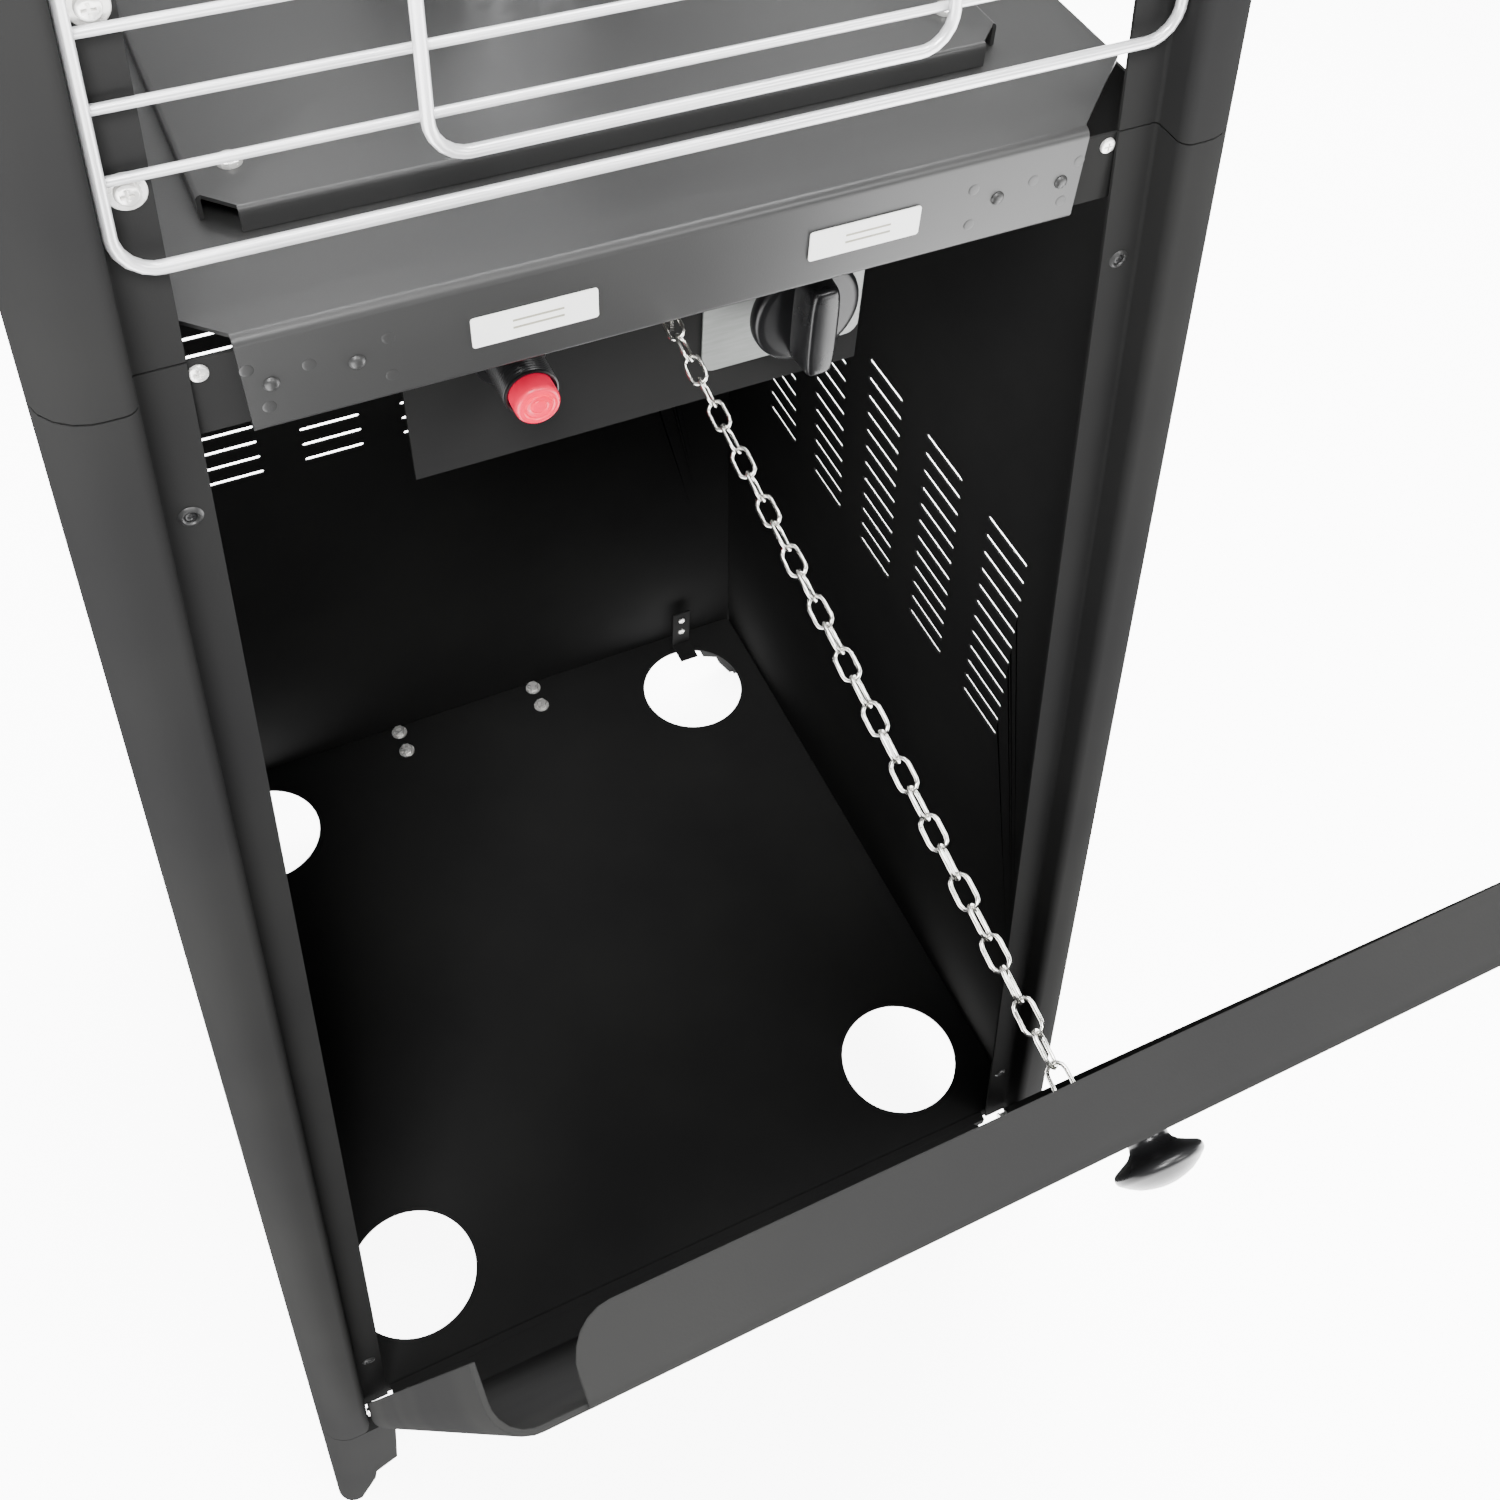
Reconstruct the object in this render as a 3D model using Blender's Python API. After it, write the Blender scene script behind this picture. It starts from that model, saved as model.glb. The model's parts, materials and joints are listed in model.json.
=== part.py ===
"""Square pyramid flame heater: a tapered gas cabinet, drop-down door on a chain, glass tube and hood.

Metres, +Z up. The origin is the middle of the base plate's top, and the front faces -Y. The four sides
lean inwards at the same slope, so most outlines are drawn at that height and slide towards the centre
as they rise.
"""

import math

import bmesh
import bpy
from mathutils import Matrix, Vector

GAP = 0.0003
SHEET = 0.0015

# Cabinet and posts. Distances from the centre are at the height of the base plate.
GROUND_Z = -0.112
TAPER = 0.078
FLANGE_D = 0.250
OPENING_HALF = 0.222
FLANGE_LAP = 0.016
POST_STEP = 0.016
POST_CORNER_R = 0.018
POST_BOTTOM_Z = -0.004
SEAM_Z = 0.790
POST_TOP_Z = 1.920
PANEL_D = FLANGE_D - SHEET - GAP
PANEL_SHEET = 0.0012
PANEL_HALF = 0.240
PANEL_BOTTOM_Z = 0.001
PANEL_TOP_Z = 0.7885
BASE_HALF = 0.2465
BASE_RIM = 0.012
FLOOR_HOLE_R = 0.0418
FLOOR_HOLE_X = 0.185
FLOOR_HOLE_Y = 0.186
FOOT_D = 0.256

# Louvres, one pattern for three panels.
LOUVRE_COLUMNS = 5
LOUVRE_PITCH = 0.0662
LOUVRE_LENGTH = 0.039
LOUVRE_ROWS = 6
LOUVRE_ROW_PITCH = 0.028
LOUVRE_SLOT = 0.0034
LOUVRE_BOTTOM_Z = 0.3455

# Deck, front rail and the controls below it.
DECK_TOP_Z = 0.7945
DECK_HALF = 0.182
RAIL_Y = -0.1893
RAIL_HALF = 0.147
RAIL_BOTTOM_Z = 0.758
RAIL_LIP = 0.020
DECK_CORNER_CUT = 0.036
COVER_HALF = 0.142
COVER_TOP_Z = 0.8035
COVER_CORNER = 0.012
PIPE_HOLE_R = 0.030
PANEL_Y = -0.1320
PANEL_FOLD = 0.022
CONTROL_X = 0.0055
CONTROL_HALF = 0.0945
CONTROL_BOTTOM_Z = 0.6615
KNOB_X = 0.064
KNOB_Z = 0.711
KNOB_R = 0.0225
KNOB_BACK_Y = -0.1378
KNOB_PUSH = 0.004
STEM_R = 0.004
STEM_HOLE_R = 0.0060
BEZEL_HALF = 0.0349
BEZEL_BOTTOM_Z = 0.6766
BEZEL_TOP_Z = 0.762
IGNITER_X = -0.0498
IGNITER_Z = 0.7161
IGNITER_R = 0.0085
IGNITER_HOLE_R = 0.0108
IGNITER_FRONT_Y = -0.168
IGNITER_PUSH = 0.006
LABEL_X = 0.0585
LABEL_SHIFT = 0.0023
LABEL_Z = 0.7753
LABEL_SIZE = (0.042, 0.0115)

# Door, hinged along its lower edge and held open by a chain.
HINGE_D = 0.258
HINGE_Z = 0.006
DOOR_FACE = 0.0140
DOOR_DEPTH = 0.0188
DOOR_SIDE = 0.2362
DOOR_TOP = 0.765
DOOR_BOTTOM = -0.0055
DOOR_OPEN_DEG = 16.0
PIN_R = 0.0027
PIN_HEAD_R = 0.0036
HANDLE_UP = 0.736
HANDLE_R = 0.0125
CHAIN_X = -0.006
CHAIN_SPREAD = 0.0033
CHAIN_HALF_WIDTH = 0.0022
CHAIN_EYE = Vector((CHAIN_X, -0.178, 0.752))
CHAIN_ANCHOR_UP = 0.715
CHAIN_ANCHOR_IN = 0.001
CHAIN_UPPER_SHARE = 16 / 29

# Guards.
GUARD_HALF = 0.2356
GUARD_D = 0.256
GUARD_WIRE = 0.0040
GUARD_RUNG = 0.0030
GUARD_BOTTOM_Z = 0.8261
GUARD_TOP_Z = 1.8405
GUARD_RUNGS = 11
GUARD_LOOP = 0.489

# Burner, glass and hood.
BURNER_R = 0.053
BURNER_BASE_Z = 0.7795
HOUSING_TOP_Z = 0.885
GLASS_R = 0.050
GLASS_WALL = 0.0025
GLASS_BOTTOM_Z = 0.870
GLASS_TOP_Z = 1.890
TOP_PLATE_Z = 1.895
TOP_PLATE_HALF = 0.0975
HOOD_HALF = 0.250
HOOD_BOTTOM_Z = 2.020
HOOD_TOP_Z = 2.135
HOOD_LIP = 0.014
HOOD_SHEET = 0.0012
HOOD_CROWN = 0.035
HOOD_CLEARANCE = 0.0035
HOOD_BRACKET = 0.012

# Rear wheels.
WHEEL_R = 0.045
WHEEL_WIDTH = 0.022
WHEEL_X = 0.087
AXLE_Y = 0.310
AXLE_Z = -0.064
AXLE_R = 0.004
BRACKET_HALF = 0.070
BRACKET_START_Y = 0.205
BRACKET_CHEEK_Y = 0.262

for old in list(bpy.data.objects):
    bpy.data.objects.remove(old)


def lean(z):
    """How far a side has moved in at height z."""
    return TAPER * z


def material(name, colour, roughness, metallic=0.0):
    made = bpy.data.materials.new(name)
    made.use_nodes = True
    shader = made.node_tree.nodes["Principled BSDF"]
    shader.inputs["Base Color"].default_value = (*colour, 1.0)
    shader.inputs["Roughness"].default_value = roughness
    shader.inputs["Metallic"].default_value = metallic
    return made


POWDER_BLACK = material("powder_black", (0.035, 0.035, 0.037), 0.42)
SILVER_WIRE = material("silver_wire", (0.72, 0.72, 0.73), 0.35, 0.8)
ZINC = material("zinc", (0.70, 0.69, 0.66), 0.30, 1.0)
BLACK_PLASTIC = material("black_plastic", (0.02, 0.02, 0.022), 0.30)
RED_PLASTIC = material("red_plastic", (0.75, 0.03, 0.09), 0.35)
GREY_PLATE = material("grey_plate", (0.70, 0.72, 0.70), 0.45)
WHITE_LABEL = material("white_label", (0.93, 0.93, 0.90), 0.50)
STEEL = material("steel", (0.55, 0.55, 0.56), 0.32, 1.0)
BRASS = material("brass", (0.72, 0.56, 0.28), 0.35, 1.0)
GLASS = material("glass", (0.90, 0.94, 0.95), 0.05)
RUBBER = material("rubber", (0.03, 0.03, 0.03), 0.75)


def add_object(name, bm, look, smooth=False):
    """Turns a bmesh into a named object in the scene."""
    bmesh.ops.recalc_face_normals(bm, faces=bm.faces)
    mesh = bpy.data.meshes.new(name)
    bm.to_mesh(mesh)
    bm.free()
    mesh.materials.append(look)
    if smooth:
        mesh.shade_smooth()
        mesh.set_sharp_from_angle(angle=math.radians(35))
    made = bpy.data.objects.new(name, mesh)
    bpy.context.scene.collection.objects.link(made)
    return made


def loft(rings):
    """A closed solid through rings that have the same number of points."""
    bm = bmesh.new()
    loops = [[bm.verts.new(p) for p in ring] for ring in rings]
    count = len(loops[0])
    for lower, upper in zip(loops, loops[1:]):
        for i in range(count):
            j = (i + 1) % count
            bm.faces.new((lower[i], lower[j], upper[j], upper[i]))
    bm.faces.new(loops[0])
    bm.faces.new(loops[-1])
    return bm


def prism(outline, z0, z1):
    """A straight extrusion of an outline of (x, y) points between two heights."""
    return loft([[(x, y, z) for x, y in outline] for z in (z0, z1)])


def bar(low, high):
    """A box between two corners."""
    (x0, y0, z0), (x1, y1, z1) = low, high
    return prism([(x0, y0), (x1, y0), (x1, y1), (x0, y1)], z0, z1)


def turned(profile, sides, closed=False):
    """A solid turned round Z from (radius, z) points. A closed profile makes a ring."""
    bm = bmesh.new()
    rows = []
    for r, z in profile:
        if r == 0:
            rows.append([bm.verts.new((0, 0, z))])
        else:
            turns = [2 * math.pi * k / sides for k in range(sides)]
            rows.append([bm.verts.new((r * math.cos(a), r * math.sin(a), z)) for a in turns])
    pairs = list(zip(rows, rows[1:]))
    if closed:
        pairs.append((rows[-1], rows[0]))
    for low, high in pairs:
        if len(low) == len(high) == 1:
            continue
        for i in range(sides):
            j = (i + 1) % sides
            corners = [low[i % len(low)], low[j % len(low)], high[j % len(high)], high[i % len(high)]]
            bm.faces.new(list(dict.fromkeys(corners)))
    return bm


def rod(radius, z0, z1, sides):
    """A plain cylinder round Z."""
    return turned([(0, z0), (radius, z0), (radius, z1), (0, z1)], sides)


def moved(bm, matrix):
    bmesh.ops.transform(bm, matrix=matrix, verts=bm.verts)
    return bm


def at(bm, x, y, z):
    return moved(bm, Matrix.Translation((x, y, z)))


def along_y(bm, x, y, z):
    """Lays a Z-up shape so that its +Z points out of the front, towards -Y."""
    return moved(bm, Matrix.Translation((x, y, z)) @ Matrix.Rotation(math.radians(90), 4, "X"))


def along_x(bm, x, y, z):
    return moved(bm, Matrix.Translation((x, y, z)) @ Matrix.Rotation(math.radians(90), 4, "Y"))


def combine(target, bm, operation):
    """Cuts or joins a helper shape to an object, and leaves the helper out of the build."""
    helper = add_object(f"{target.name}_{operation.lower()}_{len(target.modifiers)}", bm, POWDER_BLACK)
    helper.hide_render = True
    helper.display_type = "WIRE"
    helper.parent = target.parent
    step = target.modifiers.new(operation.title(), "BOOLEAN")
    step.operation = operation
    step.object = helper


def cut(target, bm):
    combine(target, bm, "DIFFERENCE")


def join(target, bm):
    combine(target, bm, "UNION")


def arc(cx, cy, r, start, end, steps):
    """Points on an arc, angles in degrees."""
    angles = [math.radians(start + (end - start) * k / steps) for k in range(steps + 1)]
    return [(cx + r * math.cos(a), cy + r * math.sin(a)) for a in angles]


def leaning(outline, z):
    """An outline in the +X +Y corner, moved in to its place at height z."""
    s = lean(z)
    return [(x - s, y - s, z) for x, y in outline]


def turn_to_side(made, side):
    """Side 0 is the front, then right, rear and left. Corner 0 is front right."""
    made.rotation_euler.z = math.radians(90 * side)
    return made


# Posts: a rounded corner, a step in on both faces and a flange along each opening.
def post_outline():
    fold = OPENING_HALF + FLANGE_LAP
    face = FLANGE_D + POST_STEP
    centre = face - POST_CORNER_R
    outer = [(OPENING_HALF, FLANGE_D), (fold, FLANGE_D), (fold, face)]
    outer += arc(centre, centre, POST_CORNER_R, 90, 0, 5)
    outer += [(face, fold), (FLANGE_D, fold), (FLANGE_D, OPENING_HALF)]
    back = FLANGE_D - SHEET
    inner = [(back, OPENING_HALF), (back, fold + SHEET), (face - SHEET, fold + SHEET)]
    inner += arc(centre, centre, POST_CORNER_R - SHEET, 0, 90, 5)
    inner += [(fold + SHEET, face - SHEET), (fold + SHEET, back), (OPENING_HALF, back)]
    return outer + inner


CORNERS = ("front_right", "rear_right", "rear_left", "front_left")
for number, corner in enumerate(CORNERS):
    lower = loft([leaning(post_outline(), z) for z in (POST_BOTTOM_Z, SEAM_Z - GAP)])
    upper = loft([leaning(post_outline(), z) for z in (SEAM_Z + GAP, POST_TOP_Z)])
    turn_to_side(add_object(f"lower_post_{corner}", lower, POWDER_BLACK, True), number - 1)
    turn_to_side(add_object(f"upper_post_{corner}", upper, POWDER_BLACK, True), number - 1)


# Feet: each carries the post's outline to the ground and is cut away under the cabinet.
def foot_outline(arm_end, corner_r):
    face = FLANGE_D + POST_STEP
    centre = face - corner_r
    outer = [(arm_end, face)] + arc(centre, centre, corner_r, 90, 0, 5) + [(face, arm_end)]
    return outer + [(FOOT_D, arm_end), (FOOT_D, FOOT_D), (arm_end, FOOT_D)]


# Heights, how far in the two faces of a foot reach there, and its corner's radius: narrow on the ground.
FOOT_STATIONS = (
    (GROUND_Z, 0.2530, 0.0110),
    (-0.088, 0.2418, 0.0145),
    (-0.0775, 0.2402, 0.0160),
    (-0.068, 0.2256, 0.0170),
    (POST_BOTTOM_Z - 0.0005, 0.2225, POST_CORNER_R),
)
for number, corner in enumerate(CORNERS):
    foot = loft([leaning(foot_outline(arm_end, corner_r), z) for z, arm_end, corner_r in FOOT_STATIONS])
    turn_to_side(add_object(f"foot_{corner}", foot, POWDER_BLACK, True), number - 1)

# Base plate with a turned-down rim and four air holes.
plate = bar((-BASE_HALF, -BASE_HALF, -BASE_RIM), (BASE_HALF, BASE_HALF, 0))
base = add_object("base_plate", plate, POWDER_BLACK)
inside = BASE_HALF - SHEET
cut(base, bar((-inside, -inside, -BASE_RIM - 0.01), (inside, inside, -SHEET)))
for sx in (-1, 1):
    for sy in (-1, 1):
        hole = rod(FLOOR_HOLE_R, -0.02, 0.02, 20)
        cut(base, at(hole, sx * FLOOR_HOLE_X, sy * FLOOR_HOLE_Y, 0))


def lattice(columns, rows, solid, outer_d, thickness):
    """A flat sheet or grille that leans with one side of the heater.

    columns(z) gives the x of each upright line at height z, rows the heights, and solid(i, j) says
    which cells are filled. outer_d is the distance of its outer face from the centre at floor height.
    """
    bm = bmesh.new()
    grids = []
    for depth in (outer_d, outer_d - thickness):
        grids.append([[bm.verts.new((x, lean(z) - depth, z)) for x in columns(z)] for z in rows])
    outer, inner = grids
    wide, high = len(outer[0]) - 1, len(rows) - 1

    def filled(i, j):
        return 0 <= i < wide and 0 <= j < high and solid(i, j)

    for j in range(high):
        for i in range(wide):
            if not solid(i, j):
                continue
            corners = ((i, j), (i + 1, j), (i + 1, j + 1), (i, j + 1))
            bm.faces.new([outer[b][a] for a, b in corners])
            bm.faces.new([inner[b][a] for a, b in reversed(corners)])
            around = ((i, j - 1), (i + 1, j), (i, j + 1), (i - 1, j))
            for k, beside in enumerate(around):
                if not filled(*beside):
                    (a, b), (c, d) = corners[k], corners[(k + 1) % 4]
                    bm.faces.new((outer[d][c], outer[b][a], inner[b][a], inner[d][c]))
    loose = [v for v in bm.verts if not v.link_faces]
    bmesh.ops.delete(bm, geom=loose, context="VERTS")
    return bm


# Louvred panels behind the flanges of the two sides and the rear.
def louvre_columns(z):
    edge = PANEL_HALF - lean(z)
    lines = []
    for k in range(LOUVRE_COLUMNS):
        middle = (k - (LOUVRE_COLUMNS - 1) / 2) * LOUVRE_PITCH
        lines += [middle - LOUVRE_LENGTH / 2, middle + LOUVRE_LENGTH / 2]
    return [-edge, *lines, edge]


louvre_rows = [PANEL_BOTTOM_Z]
for k in range(LOUVRE_ROWS):
    slot_low = LOUVRE_BOTTOM_Z + k * LOUVRE_ROW_PITCH
    louvre_rows += [slot_low, slot_low + LOUVRE_SLOT]
louvre_rows.append(PANEL_TOP_Z)


def around_slots(i, j):
    return not (i % 2 and j % 2)


for side, name in ((1, "side_panel_right"), (2, "rear_panel"), (3, "side_panel_left")):
    sheet = lattice(louvre_columns, louvre_rows, around_slots, PANEL_D, PANEL_SHEET)
    turn_to_side(add_object(name, sheet, POWDER_BLACK), side)


# Guards: a leaning frame with an upright loop inside it and rungs across.
def guard_columns(z):
    half = GUARD_HALF - lean(z)
    middles = (-half, -half * GUARD_LOOP, half * GUARD_LOOP, half)
    return [m + offset for m in middles for offset in (-GUARD_WIRE / 2, GUARD_WIRE / 2)]


guard_rows = [GUARD_BOTTOM_Z - GUARD_WIRE / 2, GUARD_BOTTOM_Z + GUARD_WIRE / 2]
rung_step = (GUARD_TOP_Z - GUARD_BOTTOM_Z) / (GUARD_RUNGS + 1)
for k in range(1, GUARD_RUNGS + 1):
    middle = GUARD_BOTTOM_Z + k * rung_step
    guard_rows += [middle - GUARD_RUNG / 2, middle + GUARD_RUNG / 2]
guard_rows += [GUARD_TOP_Z - GUARD_WIRE / 2, GUARD_TOP_Z + GUARD_WIRE / 2]


def on_wires(i, j):
    return i % 2 == 0 or j % 2 == 0


for side, name in enumerate(("guard_front", "guard_right", "guard_rear", "guard_left")):
    grille = lattice(guard_columns, guard_rows, on_wires, GUARD_D + GUARD_WIRE / 2, GUARD_WIRE)
    turn_to_side(add_object(name, grille, SILVER_WIRE), side)

# Deck: a shelf across the cabinet with the front rail folded down from it.
deck_outline = [(-RAIL_HALF, RAIL_Y), (RAIL_HALF, RAIL_Y), (DECK_HALF, RAIL_Y + DECK_CORNER_CUT)]
deck_outline += [(DECK_HALF, DECK_HALF), (-DECK_HALF, DECK_HALF), (-DECK_HALF, RAIL_Y + DECK_CORNER_CUT)]
deck = add_object("deck", prism(deck_outline, DECK_TOP_Z - SHEET, DECK_TOP_Z), POWDER_BLACK)
rail_front = bar((-RAIL_HALF, RAIL_Y, RAIL_BOTTOM_Z), (RAIL_HALF, RAIL_Y + SHEET, DECK_TOP_Z - SHEET / 2))
join(deck, rail_front)
lip_end = (RAIL_HALF, RAIL_Y + RAIL_LIP, RAIL_BOTTOM_Z + SHEET)
join(deck, bar((-RAIL_HALF, RAIL_Y + SHEET / 2, RAIL_BOTTOM_Z), lip_end))
cut(deck, rod(PIPE_HOLE_R, DECK_TOP_Z - 0.05, DECK_TOP_Z + 0.05, 16))

# The rail is riveted to a tab on each side, which reaches behind the flange of the post.
TAB_Y = RAIL_Y + SHEET + 0.0012
TAB_INNER, TAB_OUTER = 0.105, 0.171
for sign, side in ((-1, "left"), (1, "right")):
    x0, x1 = sorted((sign * TAB_INNER, sign * TAB_OUTER))
    tab = bar((x0, TAB_Y, RAIL_BOTTOM_Z + 0.003), (x1, TAB_Y + 0.0012, DECK_TOP_Z - 0.006))
    add_object(f"rail_bracket_{side}", tab, POWDER_BLACK)
    label_x = sign * LABEL_X + LABEL_SHIFT
    low = (label_x - LABEL_SIZE[0] / 2, RAIL_Y - GAP - 0.0005, LABEL_Z - LABEL_SIZE[1] / 2)
    high = (label_x + LABEL_SIZE[0] / 2, RAIL_Y - GAP, LABEL_Z + LABEL_SIZE[1] / 2)
    add_object(f"label_{side}", bar(low, high), WHITE_LABEL)


def cornered(half, corner):
    """A square outline with its corners cut off."""
    points = []
    for sx, sy in ((1, -1), (1, 1), (-1, 1), (-1, -1)):
        pair = [(sx * half, sy * (half - corner)), (sx * (half - corner), sy * half)]
        points += pair if sx * sy > 0 else pair[::-1]
    return points


cover = prism(cornered(COVER_HALF, COVER_CORNER), DECK_TOP_Z + GAP, COVER_TOP_Z)
cover = add_object("burner_cover", cover, POWDER_BLACK)
cut(cover, prism(cornered(COVER_HALF - SHEET, COVER_CORNER), DECK_TOP_Z - 0.01, COVER_TOP_Z - SHEET))
cut(cover, rod(PIPE_HOLE_R, DECK_TOP_Z - 0.05, DECK_TOP_Z + 0.05, 16))

# Control panel: an upright plate that hangs from the underside of the deck.
panel_back = PANEL_Y + SHEET
panel_top = DECK_TOP_Z - SHEET - GAP
panel_left, panel_right = CONTROL_X - CONTROL_HALF, CONTROL_X + CONTROL_HALF
control = bar((panel_left, PANEL_Y, CONTROL_BOTTOM_Z), (panel_right, panel_back, panel_top))
control = add_object("control_panel", control, POWDER_BLACK)
fold_low = (panel_left, PANEL_Y + SHEET / 2, panel_top - SHEET)
join(control, bar(fold_low, (panel_right, PANEL_Y + PANEL_FOLD, panel_top)))
cut(control, along_y(rod(STEM_HOLE_R, -0.01, 0.01, 12), KNOB_X, PANEL_Y, KNOB_Z))
cut(control, along_y(rod(IGNITER_HOLE_R, -0.01, 0.01, 16), IGNITER_X, PANEL_Y, IGNITER_Z))


def rounded_plate(x0, x1, z0, z1, radius, y0, y1):
    """An upright plate in X and Z with round corners."""
    left, right, low, high = x0 + radius, x1 - radius, z0 + radius, z1 - radius
    outline = arc(right, low, radius, -90, 0, 3) + arc(right, high, radius, 0, 90, 3)
    outline += arc(left, high, radius, 90, 180, 3) + arc(left, low, radius, 180, 270, 3)
    return loft([[(x, y, z) for x, z in outline] for y in (y0, y1)])


left, right, front = KNOB_X - BEZEL_HALF, KNOB_X + BEZEL_HALF, PANEL_Y - GAP - 0.001
bezel = rounded_plate(left, right, BEZEL_BOTTOM_Z, BEZEL_TOP_Z, 0.006, front, PANEL_Y - GAP)
bezel = add_object("knob_bezel", bezel, GREY_PLATE)
cut(bezel, along_y(rod(STEM_HOLE_R, -0.01, 0.01, 12), KNOB_X, PANEL_Y, KNOB_Z))

# Gas valve: body behind the panel, stem through it, and the knob on the stem.
valve_front = panel_back + GAP
valve_low, valve_back = KNOB_Z - 0.018, valve_front + 0.040
valve = bar((KNOB_X - 0.016, valve_front, valve_low), (KNOB_X + 0.016, valve_back, KNOB_Z + 0.014))
valve = add_object("gas_valve", valve, BRASS)
cut(valve, along_y(rod(STEM_R + 0.0005, -0.014, 0.01, 12), KNOB_X, valve_front, KNOB_Z))
inlet = rod(0.007, -0.020, 0.004, 10)
join(valve, at(inlet, KNOB_X, valve_front + 0.028, valve_low))

stem_mount = bpy.data.objects.new("stem_mount", None)
stem_mount.location = (KNOB_X, KNOB_BACK_Y, KNOB_Z)
bpy.context.scene.collection.objects.link(stem_mount)
stem = add_object("valve_stem", along_y(rod(STEM_R, -0.0165, 0.012, 10), 0, 0, 0), ZINC, True)
stem.parent = stem_mount

knob_profile = [(0, 0.0135), (STEM_R + 0.0005, 0.0135), (STEM_R + 0.0005, 0), (0.0110, 0), (0.0110, 0.0078)]
knob_profile += [(KNOB_R - 0.0010, 0.0085), (KNOB_R, 0.0095), (KNOB_R, 0.0132)]
knob_profile += [(KNOB_R - 0.0020, 0.0152), (0, 0.0152)]
knob = add_object("control_knob", along_y(turned(knob_profile, 24), 0, 0, 0), BLACK_PLASTIC, True)
knob.parent = stem_mount
join(knob, bar((-0.0066, -0.0282, -0.0205), (0.0066, -0.0140, 0.0205)))

# Igniter: threaded body through the panel, collar nut in front and a sprung button.
body_r, sleeve_r = 0.0103, 0.0089
sleeve = [(0, -0.035), (body_r, -0.035), (body_r, 0.0278)]
sleeve += [(sleeve_r, 0.0278), (sleeve_r, -0.003), (0, -0.003)]
nut = [(0.0106, GAP), (0.0142, GAP), (0.0142, 0.0060), (0.0134, 0.0070), (0.0106, 0.0070)]
reach = PANEL_Y - IGNITER_FRONT_Y
bevel = 0.0015
button = [(0, 0.0045), (IGNITER_R, 0.0045), (IGNITER_R, reach - bevel)]
button += [(IGNITER_R - bevel, reach), (0, reach)]
for name, shape, look in (
    ("igniter_body", turned(sleeve, 16), BLACK_PLASTIC),
    ("igniter_collar", turned(nut, 16, closed=True), BLACK_PLASTIC),
    ("igniter_button", turned(button, 16), RED_PLASTIC),
):
    add_object(name, along_y(shape, IGNITER_X, PANEL_Y, IGNITER_Z), look, True)


def tube(name, points, radius, look, sides=8):
    """A round bar or pipe along a path, with a smooth sweep."""
    curve = bpy.data.curves.new(name, "CURVE")
    curve.dimensions = "3D"
    curve.bevel_depth = radius
    curve.bevel_resolution = max(0, sides // 4 - 1)
    curve.use_fill_caps = True
    spline = curve.splines.new("POLY")
    spline.points.add(len(points) - 1)
    for point, place in zip(spline.points, points):
        point.co = (*place, 1.0)
    curve.materials.append(look)
    made = bpy.data.objects.new(name, curve)
    bpy.context.scene.collection.objects.link(made)
    return made


# Burner: gas pipe under the deck, burner head inside a round housing, pilot beside it.
pipe_start = Vector((KNOB_X, valve_front + 0.0405, KNOB_Z + 0.004))
pipe_route = [pipe_start, pipe_start + Vector((0, 0.020, 0))]
pipe_end = Vector((0, 0, BURNER_BASE_Z - 0.0005))
pipe_bend = pipe_start + Vector((0, 0.030, 0))
for k in range(1, 9):
    t = k / 8
    eased = t * t * (3 - 2 * t)
    flat = pipe_bend.lerp(Vector((0, 0, pipe_bend.z)), t)
    pipe_route.append(Vector((flat.x, flat.y, pipe_bend.z + (pipe_end.z - 0.012 - pipe_bend.z) * eased)))
pipe_route.append(pipe_end)
tube("gas_pipe", pipe_route, 0.0045, BRASS)

# The burner head above its base: a neck that widens to the flame ports.
head = [(0, 0), (0.008, 0), (0.008, 0.0305), (0.024, 0.0425), (0.024, 0.0645), (0.018, 0.0725), (0, 0.0745)]
add_object("burner_head", at(turned(head, 16), 0, 0, BURNER_BASE_Z), STEEL, True)
housing_low = COVER_TOP_Z + GAP
outer_r, foot_r, seat_r = BURNER_R + 0.0012, BURNER_R + 0.004, GLASS_R - 0.006
seat_high, seat_low = GLASS_BOTTOM_Z - GAP, GLASS_BOTTOM_Z - 0.0018
housing = [(foot_r, housing_low), (foot_r, housing_low + 0.0015), (outer_r, housing_low + 0.003)]
housing += [(outer_r, HOUSING_TOP_Z), (BURNER_R, HOUSING_TOP_Z), (BURNER_R, seat_high), (seat_r, seat_high)]
housing += [(seat_r, seat_low), (BURNER_R, seat_low), (BURNER_R, housing_low)]
add_object("burner_housing", turned(housing, 24, closed=True), STEEL, True)
pilot = turned([(0, 0), (0.0035, 0), (0.0035, 0.030), (0.0020, 0.034), (0, 0.034)], 8)
add_object("pilot_burner", at(pilot, 0.030, 0.020, COVER_TOP_Z + GAP), STEEL, True)
switch = at(rod(0.011, -0.026, 0, 12), -0.110, 0.060, DECK_TOP_Z - SHEET - GAP)
add_object("tilt_switch", switch, BLACK_PLASTIC, True)

# Glass tube between the housing and the top plate.
def ring(inner_r, outer_r, z0, z1, sides):
    return turned([(inner_r, z0), (outer_r, z0), (outer_r, z1), (inner_r, z1)], sides, closed=True)


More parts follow.
